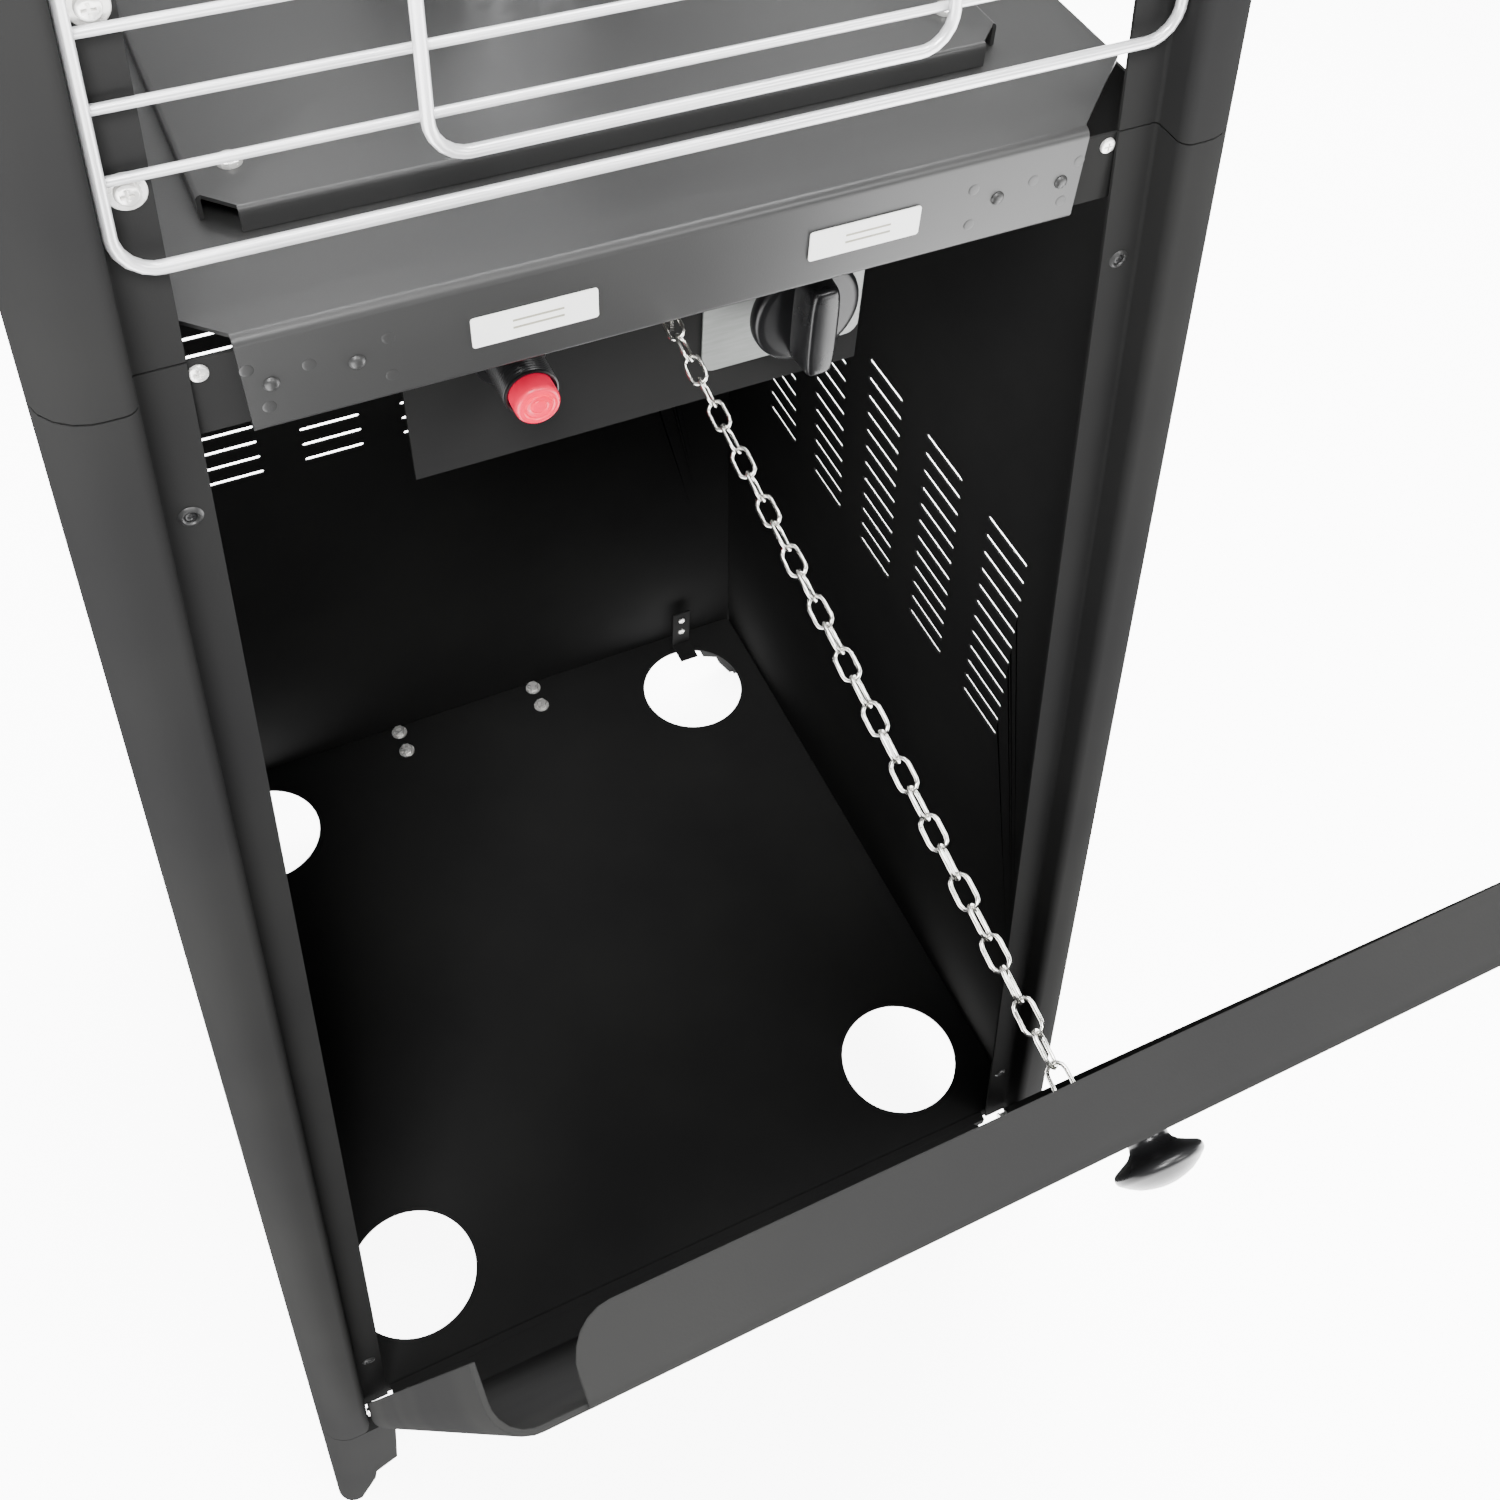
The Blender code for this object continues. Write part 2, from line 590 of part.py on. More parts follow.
glass = ring(GLASS_R - GLASS_WALL, GLASS_R, GLASS_BOTTOM_Z, GLASS_TOP_Z, 32)
add_object("glass_tube", glass, GLASS, True)
plate = prism(cornered(TOP_PLATE_HALF, 0.020), TOP_PLATE_Z - SHEET, TOP_PLATE_Z)
plate = add_object("top_plate", plate, STEEL)
join(plate, ring(GLASS_R + 0.001, GLASS_R + 0.003, GLASS_TOP_Z - 0.022, TOP_PLATE_Z - SHEET / 2, 24))
cut(plate, rod(0.044, TOP_PLATE_Z - 0.05, TOP_PLATE_Z + 0.05, 20))

# A domed cap over the plate's hole; its points are heights above the plate.
screen = [(0.050, 0), (0.050, 0.0012), (0.0472, 0.0012), (0.0472, 0.030), (0.030, 0.038), (0, 0.040)]
screen += [(0, 0.0388), (0.0295, 0.0368), (0.0460, 0.0290), (0.0460, 0)]
add_object("flame_screen", at(turned(screen, 20, closed=True), 0, 0, TOP_PLATE_Z + GAP), STEEL, True)


# Hood: a four-sided reflector with a turned-down lip, on four brackets.
def square(half, z):
    return [(half, -half, z), (half, half, z), (-half, half, z), (-half, -half, z)]


eave_z = HOOD_BOTTOM_Z + HOOD_LIP
hood_inside = HOOD_HALF - HOOD_SHEET
hood_rings = [square(HOOD_CROWN, HOOD_TOP_Z), square(HOOD_HALF, eave_z), square(HOOD_HALF, HOOD_BOTTOM_Z)]
hood_rings += [square(hood_inside, HOOD_BOTTOM_Z), square(hood_inside, eave_z - 0.001)]
hood_rings.append(square(HOOD_CROWN - HOOD_SHEET, HOOD_TOP_Z - 0.002))
add_object("hood", loft(hood_rings), STEEL)

bracket_d = FLANGE_D + POST_STEP - lean(POST_TOP_Z) - 0.014
hood_slope = (HOOD_TOP_Z - eave_z) / (HOOD_HALF - HOOD_CROWN)
under_hood = eave_z + (HOOD_HALF - bracket_d) * hood_slope - HOOD_CLEARANCE
near, far = bracket_d - HOOD_BRACKET / 2, bracket_d + HOOD_BRACKET / 2
bracket_outline = [(near, near), (far, near), (far, far), (near, far)]
for number, corner in enumerate(CORNERS):
    low = [(x, y, POST_TOP_Z - 0.030) for x, y in bracket_outline]
    high = [(x, y, under_hood - hood_slope * (max(x, y) - bracket_d)) for x, y in bracket_outline]
    turn_to_side(add_object(f"hood_bracket_{corner}", loft([low, high]), ZINC), number - 1)
cap = turned([(0, 0), (0.016, 0), (0.016, 0.004), (0.007, 0.008), (0.007, 0.014), (0, 0.016)], 12)
add_object("hood_cap", at(cap, 0, 0, HOOD_TOP_Z + GAP), ZINC, True)

# Rear wheels on an axle, in a bracket under the base plate.
bracket_top = -BASE_RIM - 0.0005
bracket_end = AXLE_Y + 0.012
bracket_low = (-BRACKET_HALF, BRACKET_START_Y, bracket_top - 0.002)
bracket = bar(bracket_low, (BRACKET_HALF, bracket_end, bracket_top))
bracket = add_object("wheel_bracket", bracket, POWDER_BLACK)
for sign in (-1, 1):
    x0, x1 = sorted((sign * (BRACKET_HALF - 0.002), sign * BRACKET_HALF))
    join(bracket, bar((x0, BRACKET_CHEEK_Y, AXLE_Z - 0.010), (x1, bracket_end, bracket_top - 0.001)))
    cut(bracket, along_x(rod(AXLE_R + GAP, -0.01, 0.01, 10), sign * BRACKET_HALF, AXLE_Y, AXLE_Z))
axle_half = WHEEL_X + WHEEL_WIDTH / 2 + 0.004
add_object("axle", along_x(rod(AXLE_R, -axle_half, axle_half, 10), 0, AXLE_Y, AXLE_Z), ZINC, True)
side_face = -WHEEL_WIDTH / 2
dished = side_face + 0.005
wheel_profile = [(AXLE_R + 0.0004, side_face), (0.014, side_face), (0.016, dished), (0.034, dished)]
wheel_profile += [(WHEEL_R - 0.004, side_face), (WHEEL_R, side_face + 0.004)]
wheel_profile += [(r, -z) for r, z in reversed(wheel_profile)]
for sign, side in ((-1, "left"), (1, "right")):
    wheel = along_x(turned(wheel_profile, 24, closed=True), 0, 0, 0)
    wheel = add_object(f"wheel_{side}", wheel, RUBBER, True)
    wheel.location = (sign * WHEEL_X, AXLE_Y, AXLE_Z)

# Door: a shallow pan, drawn upright round its hinge line and then leaned out to where the chain holds it.
door_mount = bpy.data.objects.new("door_mount", None)
door_mount.location = (0, -HINGE_D, HINGE_Z)
door_mount.rotation_euler.x = math.radians(DOOR_OPEN_DEG)
bpy.context.scene.collection.objects.link(door_mount)


def door_section(low, high, inset, front, rear):
    """A slab of the door between two heights; inset narrows it, front and rear are Y about the hinge."""
    rings = []
    for up in (low, high):
        half = DOOR_SIDE - lean(up + HINGE_Z) - inset
        rings.append([(-half, front, up), (half, front, up), (half, rear, up), (-half, rear, up)])
    return loft(rings)


face_y = -DOOR_FACE
rear_y = face_y + DOOR_DEPTH
door = add_object("door_panel", door_section(DOOR_BOTTOM, DOOR_TOP, 0, face_y, rear_y), POWDER_BLACK)
door.parent = door_mount
cut(door, door_section(DOOR_BOTTOM + SHEET, DOOR_TOP - SHEET, SHEET, face_y + SHEET, rear_y + 0.01))
cut(door, along_x(rod(PIN_R + 0.0005, -0.3, 0.3, 10), 0, 0, 0))
cut(door, along_y(rod(0.0022, -0.01, 0.01, 8), 0, face_y, HANDLE_UP))
pin_start = DOOR_SIDE - 0.008
pin_length = OPENING_HALF + FLANGE_LAP - lean(HINGE_Z) - 2 * GAP - pin_start
for sign, side in ((-1, "left"), (1, "right")):
    pin = [(0, -0.001), (PIN_HEAD_R, -0.001), (PIN_HEAD_R, 0), (PIN_R, 0)]
    pin += [(PIN_R, pin_length), (0, pin_length)]
    pin = along_x(turned([(r, sign * z) for r, z in pin], 10), sign * pin_start, -HINGE_D, HINGE_Z)
    add_object(f"hinge_pin_{side}", pin, ZINC, True)

# Handle: a round grip on a waisted stalk, with a blind hole for its screw.
grip = [(0, 0.009), (0.0022, 0.009), (0.0022, GAP), (0.0062, GAP), (0.0056, 0.0016), (0.0058, 0.0030)]
grip += [(0.0080, 0.0050), (HANDLE_R - 0.0006, 0.0064), (HANDLE_R, 0.0080), (HANDLE_R - 0.0012, 0.0100)]
grip += [(0.0075, 0.0124), (0, 0.0136)]
handle = add_object("door_handle", along_y(turned(grip, 16), 0, face_y, HANDLE_UP), BLACK_PLASTIC, True)
handle.parent = door_mount

# The screw of the handle also holds a small strap with an ear for the last link.
strap_y = face_y + SHEET + GAP
strap = bar((-0.0055, strap_y, CHAIN_ANCHOR_UP - 0.005), (0.0055, strap_y + 0.0012, HANDLE_UP + 0.006))
strap = add_object("chain_anchor", strap, ZINC)
strap.parent = door_mount
ear_low = (0.0, strap_y + 0.0006, CHAIN_ANCHOR_UP - 0.0045)
join(strap, bar(ear_low, (0.0012, CHAIN_ANCHOR_IN + 0.0035, CHAIN_ANCHOR_UP + 0.005)))
screw = [(0, -0.0055), (0.0035, -0.0053), (0.0040, -0.0035), (0.0040, -0.0025)]
screw += [(0.0018, -0.0025), (0.0018, 0.0080), (0, 0.0080)]
join(strap, along_y(turned(screw, 10), 0, face_y, HANDLE_UP))
cut(strap, along_x(rod(0.0018, -0.01, 0.01, 8), 0, CHAIN_ANCHOR_IN, CHAIN_ANCHOR_UP))

# Chain: taut at rest between an eye under the rail and the door. Its two runs are stood for by plain bars.
eye_low = CHAIN_EYE - Vector((0.0006, 0.004, 0.004))
eye_high = (CHAIN_EYE.x + 0.0006, CHAIN_EYE.y + 0.004, RAIL_BOTTOM_Z - GAP)
eye = add_object("chain_eye", bar(eye_low, eye_high), ZINC)
cut(eye, along_x(rod(0.0020, -0.01, 0.01, 8), *CHAIN_EYE))
open_turn = Matrix.Rotation(math.radians(DOOR_OPEN_DEG), 4, "X")
anchor = Vector((0, -HINGE_D, HINGE_Z)) + open_turn @ Vector((CHAIN_X, CHAIN_ANCHOR_IN, CHAIN_ANCHOR_UP))
run = anchor - CHAIN_EYE
pitch_angle = math.atan2(run.z, run.y)
for name, pivot, offset, first, last in (
    ("chain_upper", CHAIN_EYE, -CHAIN_SPREAD, -0.003, run.length * CHAIN_UPPER_SHARE),
    ("chain_lower", anchor, CHAIN_SPREAD, -run.length * (1 - CHAIN_UPPER_SHARE), 0.002),
):
    low = (offset - CHAIN_HALF_WIDTH, first, -CHAIN_HALF_WIDTH)
    high = (offset + CHAIN_HALF_WIDTH, last, CHAIN_HALF_WIDTH)
    link_run = add_object(name, bar(low, high), STEEL)
    link_run.location = pivot
    link_run.rotation_euler.x = pitch_angle
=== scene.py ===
"""Looks of the square pyramid flame heater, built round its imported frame.

Metres, +Z up. The origin is the middle of the base plate's top, and the front faces -Y. The four sides lean
inwards at one slope, so outlines are drawn at the height of the base plate and slide in as they rise.
"""

import json
import math

import bmesh
import bpy
from mathutils import Matrix, Vector


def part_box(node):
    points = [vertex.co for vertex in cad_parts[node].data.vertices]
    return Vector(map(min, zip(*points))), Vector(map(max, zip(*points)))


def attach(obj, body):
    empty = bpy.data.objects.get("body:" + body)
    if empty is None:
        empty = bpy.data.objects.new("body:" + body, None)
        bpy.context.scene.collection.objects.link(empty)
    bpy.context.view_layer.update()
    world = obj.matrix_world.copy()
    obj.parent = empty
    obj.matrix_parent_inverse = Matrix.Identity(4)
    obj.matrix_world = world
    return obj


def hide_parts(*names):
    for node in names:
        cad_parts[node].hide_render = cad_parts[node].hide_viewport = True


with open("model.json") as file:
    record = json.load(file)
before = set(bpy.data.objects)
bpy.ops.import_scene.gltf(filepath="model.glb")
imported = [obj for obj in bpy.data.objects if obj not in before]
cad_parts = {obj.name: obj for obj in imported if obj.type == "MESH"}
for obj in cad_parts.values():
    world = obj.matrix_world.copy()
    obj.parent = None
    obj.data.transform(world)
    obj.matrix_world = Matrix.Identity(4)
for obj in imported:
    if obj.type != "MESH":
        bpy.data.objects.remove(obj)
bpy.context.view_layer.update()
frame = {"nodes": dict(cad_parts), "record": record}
nodes = frame["nodes"]
scene = bpy.context.scene

GAP = 0.0003
SHEET = 0.0015
CORNERS = ("front_right", "rear_right", "rear_left", "front_left")
SIDES = ("front", "right", "rear", "left")

# Cabinet: distances from the centre at the height of the base plate.
TAPER = 0.078
FLANGE_D = 0.250
OPENING_HALF = 0.222
FLANGE_LAP = 0.016
POST_FACE = FLANGE_D + 0.016
POST_CORNER_R = 0.018
FOOT_BACK = 0.256
PANEL_SHEET = 0.0012
PANEL_D = FLANGE_D - SHEET - GAP
PANEL_HALF = 0.2468
PANEL_BOTTOM_Z = -0.0095
GROUND_Z = nodes["foot_front_right"].bound_box[0][2]
DECK_TOP_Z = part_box("deck")[1].z
RAIL_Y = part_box("deck")[0].y
RAIL_BOTTOM_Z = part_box("deck")[0].z
PANEL_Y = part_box("control_panel")[0].y
KNOB_X = 0.064
KNOB_Z = 0.711
IGNITER_X = -0.0498
IGNITER_Z = 0.7161

# Door, drawn upright round its hinge and leaned out.
DOOR_OPEN = math.radians(16)
DOOR_HINGE = Vector((0, -0.258, 0.006))
DOOR_PLACE = Matrix.Translation(DOOR_HINGE) @ Matrix.Rotation(DOOR_OPEN, 4, "X")
DOOR_FACE_Y = -0.0140
DOOR_REAR_Y = 0.0048
DOOR_HALF = 0.2362
DOOR_TOP = 0.765
DOOR_BOTTOM = -0.0055
HANDLE_UP = 0.736

# Chain, from the eye under the rail to the ear behind the handle.
CHAIN_START = Vector((-0.006, -0.178, 0.752))
CHAIN_END = DOOR_PLACE @ Vector((-0.006, 0.001, 0.715))
CHAIN_LINKS = 29
CHAIN_UPPER_LINKS = 16
CHAIN_WIRE = 0.0013
CHAIN_WIDTH = 0.0070

# Guards.
GUARD_D = 0.256
GUARD_HALF = 0.2356
GUARD_LOOP = 0.489
GUARD_WIRE_R = 0.0020
RUNG_R = 0.0015
GUARD_BOTTOM_Z = 0.8261
GUARD_TOP_Z = 1.8405
GUARD_CORNER_R = 0.011
RUNG_PITCH = 0.0195
FIRST_RUNG_Z = 0.8513
LOOP_BOTTOM_Z = 0.8400


# Materials: every colour has some variation in it, and every surface some grain.
def start_material(name):
    look = bpy.data.materials.new(name)
    look.use_nodes = True
    return look, look.node_tree, look.node_tree.nodes["Principled BSDF"]


def pattern(tree, scale, detail=2.0, stretch=(1, 1, 1), kind="ShaderNodeTexNoise"):
    """A value from 0 to 1 that varies over the object, at a scale in waves per metre."""
    coords = tree.nodes.new("ShaderNodeTexCoord")
    mapping = tree.nodes.new("ShaderNodeMapping")
    mapping.inputs["Scale"].default_value = stretch
    texture = tree.nodes.new(kind)
    texture.inputs["Scale"].default_value = scale
    if "Detail" in texture.inputs:
        texture.inputs["Detail"].default_value = detail
    tree.links.new(coords.outputs["Object"], mapping.inputs["Vector"])
    tree.links.new(mapping.outputs["Vector"], texture.inputs["Vector"])
    return texture.outputs[0]


def ranged(tree, value, low, high, source=(0.3, 0.7)):
    node = tree.nodes.new("ShaderNodeMapRange")
    node.inputs["From Min"].default_value, node.inputs["From Max"].default_value = source
    node.inputs["To Min"].default_value, node.inputs["To Max"].default_value = low, high
    tree.links.new(value, node.inputs["Value"])
    return node.outputs["Result"]


def blended(tree, factor, first, second):
    node = tree.nodes.new("ShaderNodeMix")
    node.data_type = "RGBA"
    node.inputs["A"].default_value = (*first, 1)
    node.inputs["B"].default_value = (*second, 1)
    tree.links.new(factor, node.inputs["Factor"])
    return node.outputs["Result"]


def grained(
    name, first, second, rough, metallic=0.0, spots=12.0, grain=900.0, depth=0.00005,
    stretch=(1, 1, 1), specular=0.5,
):
    """A finish whose colour drifts between two shades, with a fine grain in roughness and relief."""
    look, tree, shader = start_material(name)
    drift = pattern(tree, spots, 3.0, stretch)
    fine = pattern(tree, grain, 2.0, stretch)
    tree.links.new(blended(tree, ranged(tree, drift, 0, 1), first, second), shader.inputs["Base Color"])
    tree.links.new(ranged(tree, drift, *rough), shader.inputs["Roughness"])
    shader.inputs["Metallic"].default_value = metallic
    shader.inputs["Specular IOR Level"].default_value = specular
    relief = tree.nodes.new("ShaderNodeBump")
    relief.inputs["Strength"].default_value = 0.35
    relief.inputs["Distance"].default_value = depth
    tree.links.new(fine, relief.inputs["Height"])
    tree.links.new(relief.outputs["Normal"], shader.inputs["Normal"])
    return look


def glass_material():
    look, tree, shader = start_material("glass")
    smudge = pattern(tree, 9.0, 4.0)
    tint = blended(tree, ranged(tree, smudge, 0, 1), (0.93, 0.97, 0.97), (0.97, 0.99, 0.98))
    tree.links.new(tint, shader.inputs["Base Color"])
    tree.links.new(ranged(tree, smudge, 0.01, 0.05), shader.inputs["Roughness"])
    shader.inputs["IOR"].default_value = 1.47
    shader.inputs["Transmission Weight"].default_value = 1.0
    return look


def floor_material():
    look, tree, shader = start_material("studio_floor")
    drift = pattern(tree, 0.8, 2.0)
    tone = blended(tree, ranged(tree, drift, 0, 1), (0.86, 0.86, 0.86), (0.90, 0.90, 0.90))
    tree.links.new(tone, shader.inputs["Base Color"])
    tree.links.new(tone, shader.inputs["Emission Color"])
    shader.inputs["Emission Strength"].default_value = 9.0
    shader.inputs["Roughness"].default_value = 0.7
    return look


LOOKS = {
    "powder_black": grained(
        "powder_black", (0.017, 0.017, 0.0172), (0.022, 0.022, 0.0215), (0.42, 0.50), spots=7, grain=1400,
        depth=0.00006, specular=0.0
    ),
    # The same black powder coat as powder_black, in a lit copy: its colour is painted lighter and it has a
    # sheen, as painted light on the deck, rail, burner cover, rivets, pressed dots and dimples.
    "powder_painted_sheen": grained(
        "powder_painted_sheen", (0.022, 0.022, 0.0222), (0.027, 0.027, 0.0265), (0.34, 0.42), spots=7, grain=1400,
        depth=0.00006, specular=0.42
    ),
    "silver_wire": grained(
        "silver_wire", (0.66, 0.66, 0.67), (0.74, 0.74, 0.75), (0.28, 0.36), 0.45,
        spots=30, grain=1500, depth=0.00005,
    ),
    "zinc": grained(
        "zinc", (0.80, 0.79, 0.76), (0.92, 0.91, 0.89), (0.20, 0.32), 0.50,
        spots=160, grain=2500, depth=0.00003,
    ),
    "black_plastic": grained(
        "black_plastic", (0.006, 0.006, 0.0065), (0.010, 0.010, 0.0105), (0.26, 0.34), spots=40, grain=3000,
        depth=0.00002, specular=0.30
    ),
    "red_plastic": grained(
        "red_plastic", (0.86, 0.004, 0.050), (0.94, 0.010, 0.070), (0.28, 0.36),
        spots=90, grain=3000, depth=0.00002,
    ),
    "grey_plate": grained(
        "grey_plate", (0.20, 0.21, 0.20), (0.25, 0.26, 0.25), (0.34, 0.42), 0.25, spots=60, grain=1200,
        depth=0.00003, stretch=(1, 1, 12)
    ),
    "white_label": grained(
        "white_label", (0.93, 0.93, 0.91), (0.97, 0.97, 0.95), (0.42, 0.50),
        spots=50, grain=1500, depth=0.00002,
    ),
    "label_print": grained(
        "label_print", (0.28, 0.27, 0.20), (0.34, 0.33, 0.26), (0.42, 0.50),
        spots=90, grain=1500, depth=0.00002,
    ),
    "steel": grained(
        "steel", (0.52, 0.52, 0.53), (0.60, 0.60, 0.61), (0.24, 0.34), 1.0, spots=14, grain=420,
        depth=0.00003, stretch=(1, 1, 14)
    ),
    "chain_nickel": grained(
        "chain_nickel", (0.60, 0.59, 0.56), (0.78, 0.77, 0.73), (0.16, 0.28), 1.0,
        spots=260, grain=2500, depth=0.00003,
    ),
    "brass": grained(
        "brass", (0.62, 0.46, 0.20), (0.72, 0.56, 0.28), (0.28, 0.40), 1.0,
        spots=60, grain=900, depth=0.00003,
    ),
    "rubber": grained(
        "rubber", (0.016, 0.016, 0.017), (0.024, 0.024, 0.025), (0.62, 0.74),
        spots=40, grain=700, depth=0.00015,
    ),
    "glass": glass_material(),
}


# Shapes.
def add(name, bm, look, body="cabinet", stands_for=(), sharp=35, bevel=0.0):
    """Makes a piece from a bmesh, puts it on its body, and hides the CAD nodes it stands for."""
    bmesh.ops.recalc_face_normals(bm, faces=bm.faces)
    mesh = bpy.data.meshes.new(name)
    bm.to_mesh(mesh)
    bm.free()
    mesh.materials.append(LOOKS[look])
    mesh.shade_smooth()
    mesh.set_sharp_from_angle(angle=math.radians(sharp))
    made = bpy.data.objects.new(name, mesh)
    scene.collection.objects.link(made)
    if bevel:
        soften(made, bevel)
    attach(made, body)
    if stands_for:
        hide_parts(*stands_for)
    return made


def soften(made, width):
    """Rounds the sharp edges a little, so that they catch the light."""
    edge = made.modifiers.new("soft_edges", "BEVEL")
    edge.width = width
    edge.segments = 2
    edge.limit_method = "ANGLE"
    edge.angle_limit = math.radians(40)


def moved(bm, matrix):
    bmesh.ops.transform(bm, matrix=matrix, verts=bm.verts)
    return bm


def at(bm, x, y, z):
    return moved(bm, Matrix.Translation((x, y, z)))


def facing_front(bm, x, y, z):
    """Lays a Z-up shape so that its +Z points out of the front, towards -Y."""
    return moved(bm, Matrix.Translation((x, y, z)) @ Matrix.Rotation(math.radians(90), 4, "X"))


def along_x(bm, x, y, z):
    return moved(bm, Matrix.Translation((x, y, z)) @ Matrix.Rotation(math.radians(90), 4, "Y"))


def together(parts):
    """One bmesh that holds several."""
    whole = bmesh.new()
    for part in parts:
        part.verts.index_update()
        copies = [whole.verts.new(v.co) for v in part.verts]
        for face in part.faces:
            whole.faces.new([copies[v.index] for v in face.verts])
        part.free()
    return whole


def bridge(bm, loops, closed=True):
    for first, second in zip(loops, loops[1:]):
        count = len(first)
        for i in range(count if closed else count - 1):
            j = (i + 1) % count
            bm.faces.new((first[i], first[j], second[j], second[i]))


def loft(rings):
    """A closed solid through rings that have the same number of points."""
    bm = bmesh.new()
    loops = [[bm.verts.new(p) for p in ring] for ring in rings]
    bridge(bm, loops)
    bm.faces.new(loops[0])
    bm.faces.new(loops[-1])
    return bm


def box_shape(low, high):
    (x0, y0, z0), (x1, y1, z1) = low, high
    corners = ((x0, y0), (x1, y0), (x1, y1), (x0, y1))
    return loft([[(x, y, z) for x, y in corners] for z in (z0, z1)])


def turned(profile, sides, closed=False):
    """A solid turned round Z from (radius, z) points. A closed profile makes a ring."""
    bm = bmesh.new()
    rows = []
    for r, z in profile:
        turns = [2 * math.pi * k / sides for k in range(sides)]
        spots = [(0, 0, z)] if r == 0 else [(r * math.cos(a), r * math.sin(a), z) for a in turns]
        rows.append([bm.verts.new(p) for p in spots])
    pairs = list(zip(rows, rows[1:]))
    if closed:
        pairs.append((rows[-1], rows[0]))
    for low, high in pairs:
        if len(low) == len(high) == 1:
            continue
        for i in range(sides):
            j = (i + 1) % sides
            corners = [low[i % len(low)], low[j % len(low)], high[j % len(high)], high[i % len(high)]]
            bm.faces.new(list(dict.fromkeys(corners)))
    return bm


def rounded(points, radii, steps=4):
    """A path with its corners rounded: one radius for each point, and 0 leaves it sharp."""
    path = []
    count = len(points)
    for i, (point, radius) in enumerate(zip(points, radii)):
        corner = Vector(point)
        if radius == 0:
            path.append(corner)
            continue
        back = (Vector(points[i - 1]) - corner).normalized()
        ahead = (Vector(points[(i + 1) % count]) - corner).normalized()
        half = back.angle(ahead) / 2
        middle = corner + (back + ahead).normalized() * (radius / math.sin(half))
        start = corner + back * (radius / math.tan(half)) - middle
        end = corner + ahead * (radius / math.tan(half)) - middle
        for k in range(steps + 1):
            path.append(middle + start.lerp(end, k / steps).normalized() * radius)
    return path


def shifted(path, distance, closed=False):
    """A flat path moved sideways, to the left of its direction."""
    result = []
    count = len(path)
    for i, point in enumerate(path):
        before = path[i - 1] if closed or i else None
        after = path[(i + 1) % count] if closed or i < count - 1 else None
        normals = []
        for first, second in ((before, point), (point, after)):
            if first is not None and second is not None:
                step = (second - first).normalized()
                normals.append(Vector((-step.y, step.x)))
        middle = sum(normals, Vector((0, 0))).normalized()
        result.append(point + middle * (distance / max(0.3, middle.dot(normals[0]))))
    return result


def thickened(bm, thickness, outward):
    """Gives an open surface its thickness, on the side that looks away from outward."""
    bmesh.ops.recalc_face_normals(bm, faces=bm.faces)
    total = sum((f.normal * f.calc_area() for f in bm.faces), Vector((0, 0, 0)))
    if total.dot(Vector(outward)) < 0:
        bmesh.ops.reverse_faces(bm, faces=bm.faces)
    bm.normal_update()
    rim = [e for e in bm.edges if len(e.link_faces) == 1]
    faces = list(bm.faces)
    inner = {v: bm.verts.new(v.co - v.normal * thickness) for v in list(bm.verts)}
    for face in faces:
        bm.faces.new([inner[v] for v in reversed(face.verts)])
    for edge in rim:
        a, b = edge.verts
        bm.faces.new((a, b, inner[b], inner[a]))
    return bm


def filled(bm, loops):
    """Fills the flat space inside the first loop of vertices and outside the others."""
    edges = []
    for loop in loops:
        for a, b in zip(loop, loop[1:] + loop[:1]):
            edges.append(bm.edges.get((a, b)) or bm.edges.new((a, b)))
    bmesh.ops.triangle_fill(bm, use_beauty=True, edges=edges)


def circle(x, y, radius, sides=48):
    turns = [2 * math.pi * k / sides for k in range(sides)]
    return [(x + radius * math.cos(a), y + radius * math.sin(a)) for a in turns]


def tray(outline, depth, bend, holes=(), steps=4):
    """A flat sheet at Z 0 with holes in it and a rim folded down round its outline."""
    bm = bmesh.new()
    loops = []
    for k in range(steps + 1):
        turn = math.radians(90) * k / steps
        ring = shifted(outline, bend * (1 - math.sin(turn)), closed=True)
        loops.append([bm.verts.new((p.x, p.y, -bend * (1 - math.cos(turn)))) for p in ring])
    loops.append([bm.verts.new((p.x, p.y, -depth)) for p in outline])
    bridge(bm, loops)
    filled(bm, [loops[0]] + [[bm.verts.new((x, y, 0)) for x, y in hole] for hole in holes])
    return thickened(bm, SHEET, (0, 0, 1))


def square_outline(half, corner_r, cut=0.0, steps=5):
    """A square, or one with its corners cut, as a rounded path that runs anticlockwise."""
    if not cut:
        return rounded([(-half, -half), (half, -half), (half, half), (-half, half)], [corner_r] * 4, steps)
    points = []
    for quarter in range(4):
        turn = Matrix.Rotation(math.radians(90) * quarter, 2)
        points += [turn @ Vector((half - cut, -half)), turn @ Vector((half, -half + cut))]
    return rounded(points, [corner_r] * 8, steps)


def swept(points, radius, sides=10, closed=False):
    """A round wire along a path of points."""
    bm = bmesh.new()
    points = [Vector(p) for p in points]
    count = len(points)
    loops = []
    side = None
    for i, point in enumerate(points):
        before = points[i - 1] if closed or i else point
        after = points[(i + 1) % count] if closed or i < count - 1 else point
        ahead = (after - before).normalized()
        if side is None:
            side = ahead.orthogonal().normalized()
        side = (side - ahead * side.dot(ahead)).normalized()
        other = ahead.cross(side)
        turns = [2 * math.pi * k / sides for k in range(sides)]
        ring = [point + (side * math.cos(a) + other * math.sin(a)) * radius for a in turns]
        loops.append([bm.verts.new(p) for p in ring])
    bridge(bm, loops)
    if closed:
        join_round(bm, loops[-1], loops[0])
    else:
        bm.faces.new(loops[0])
        bm.faces.new(loops[-1])
    return bm


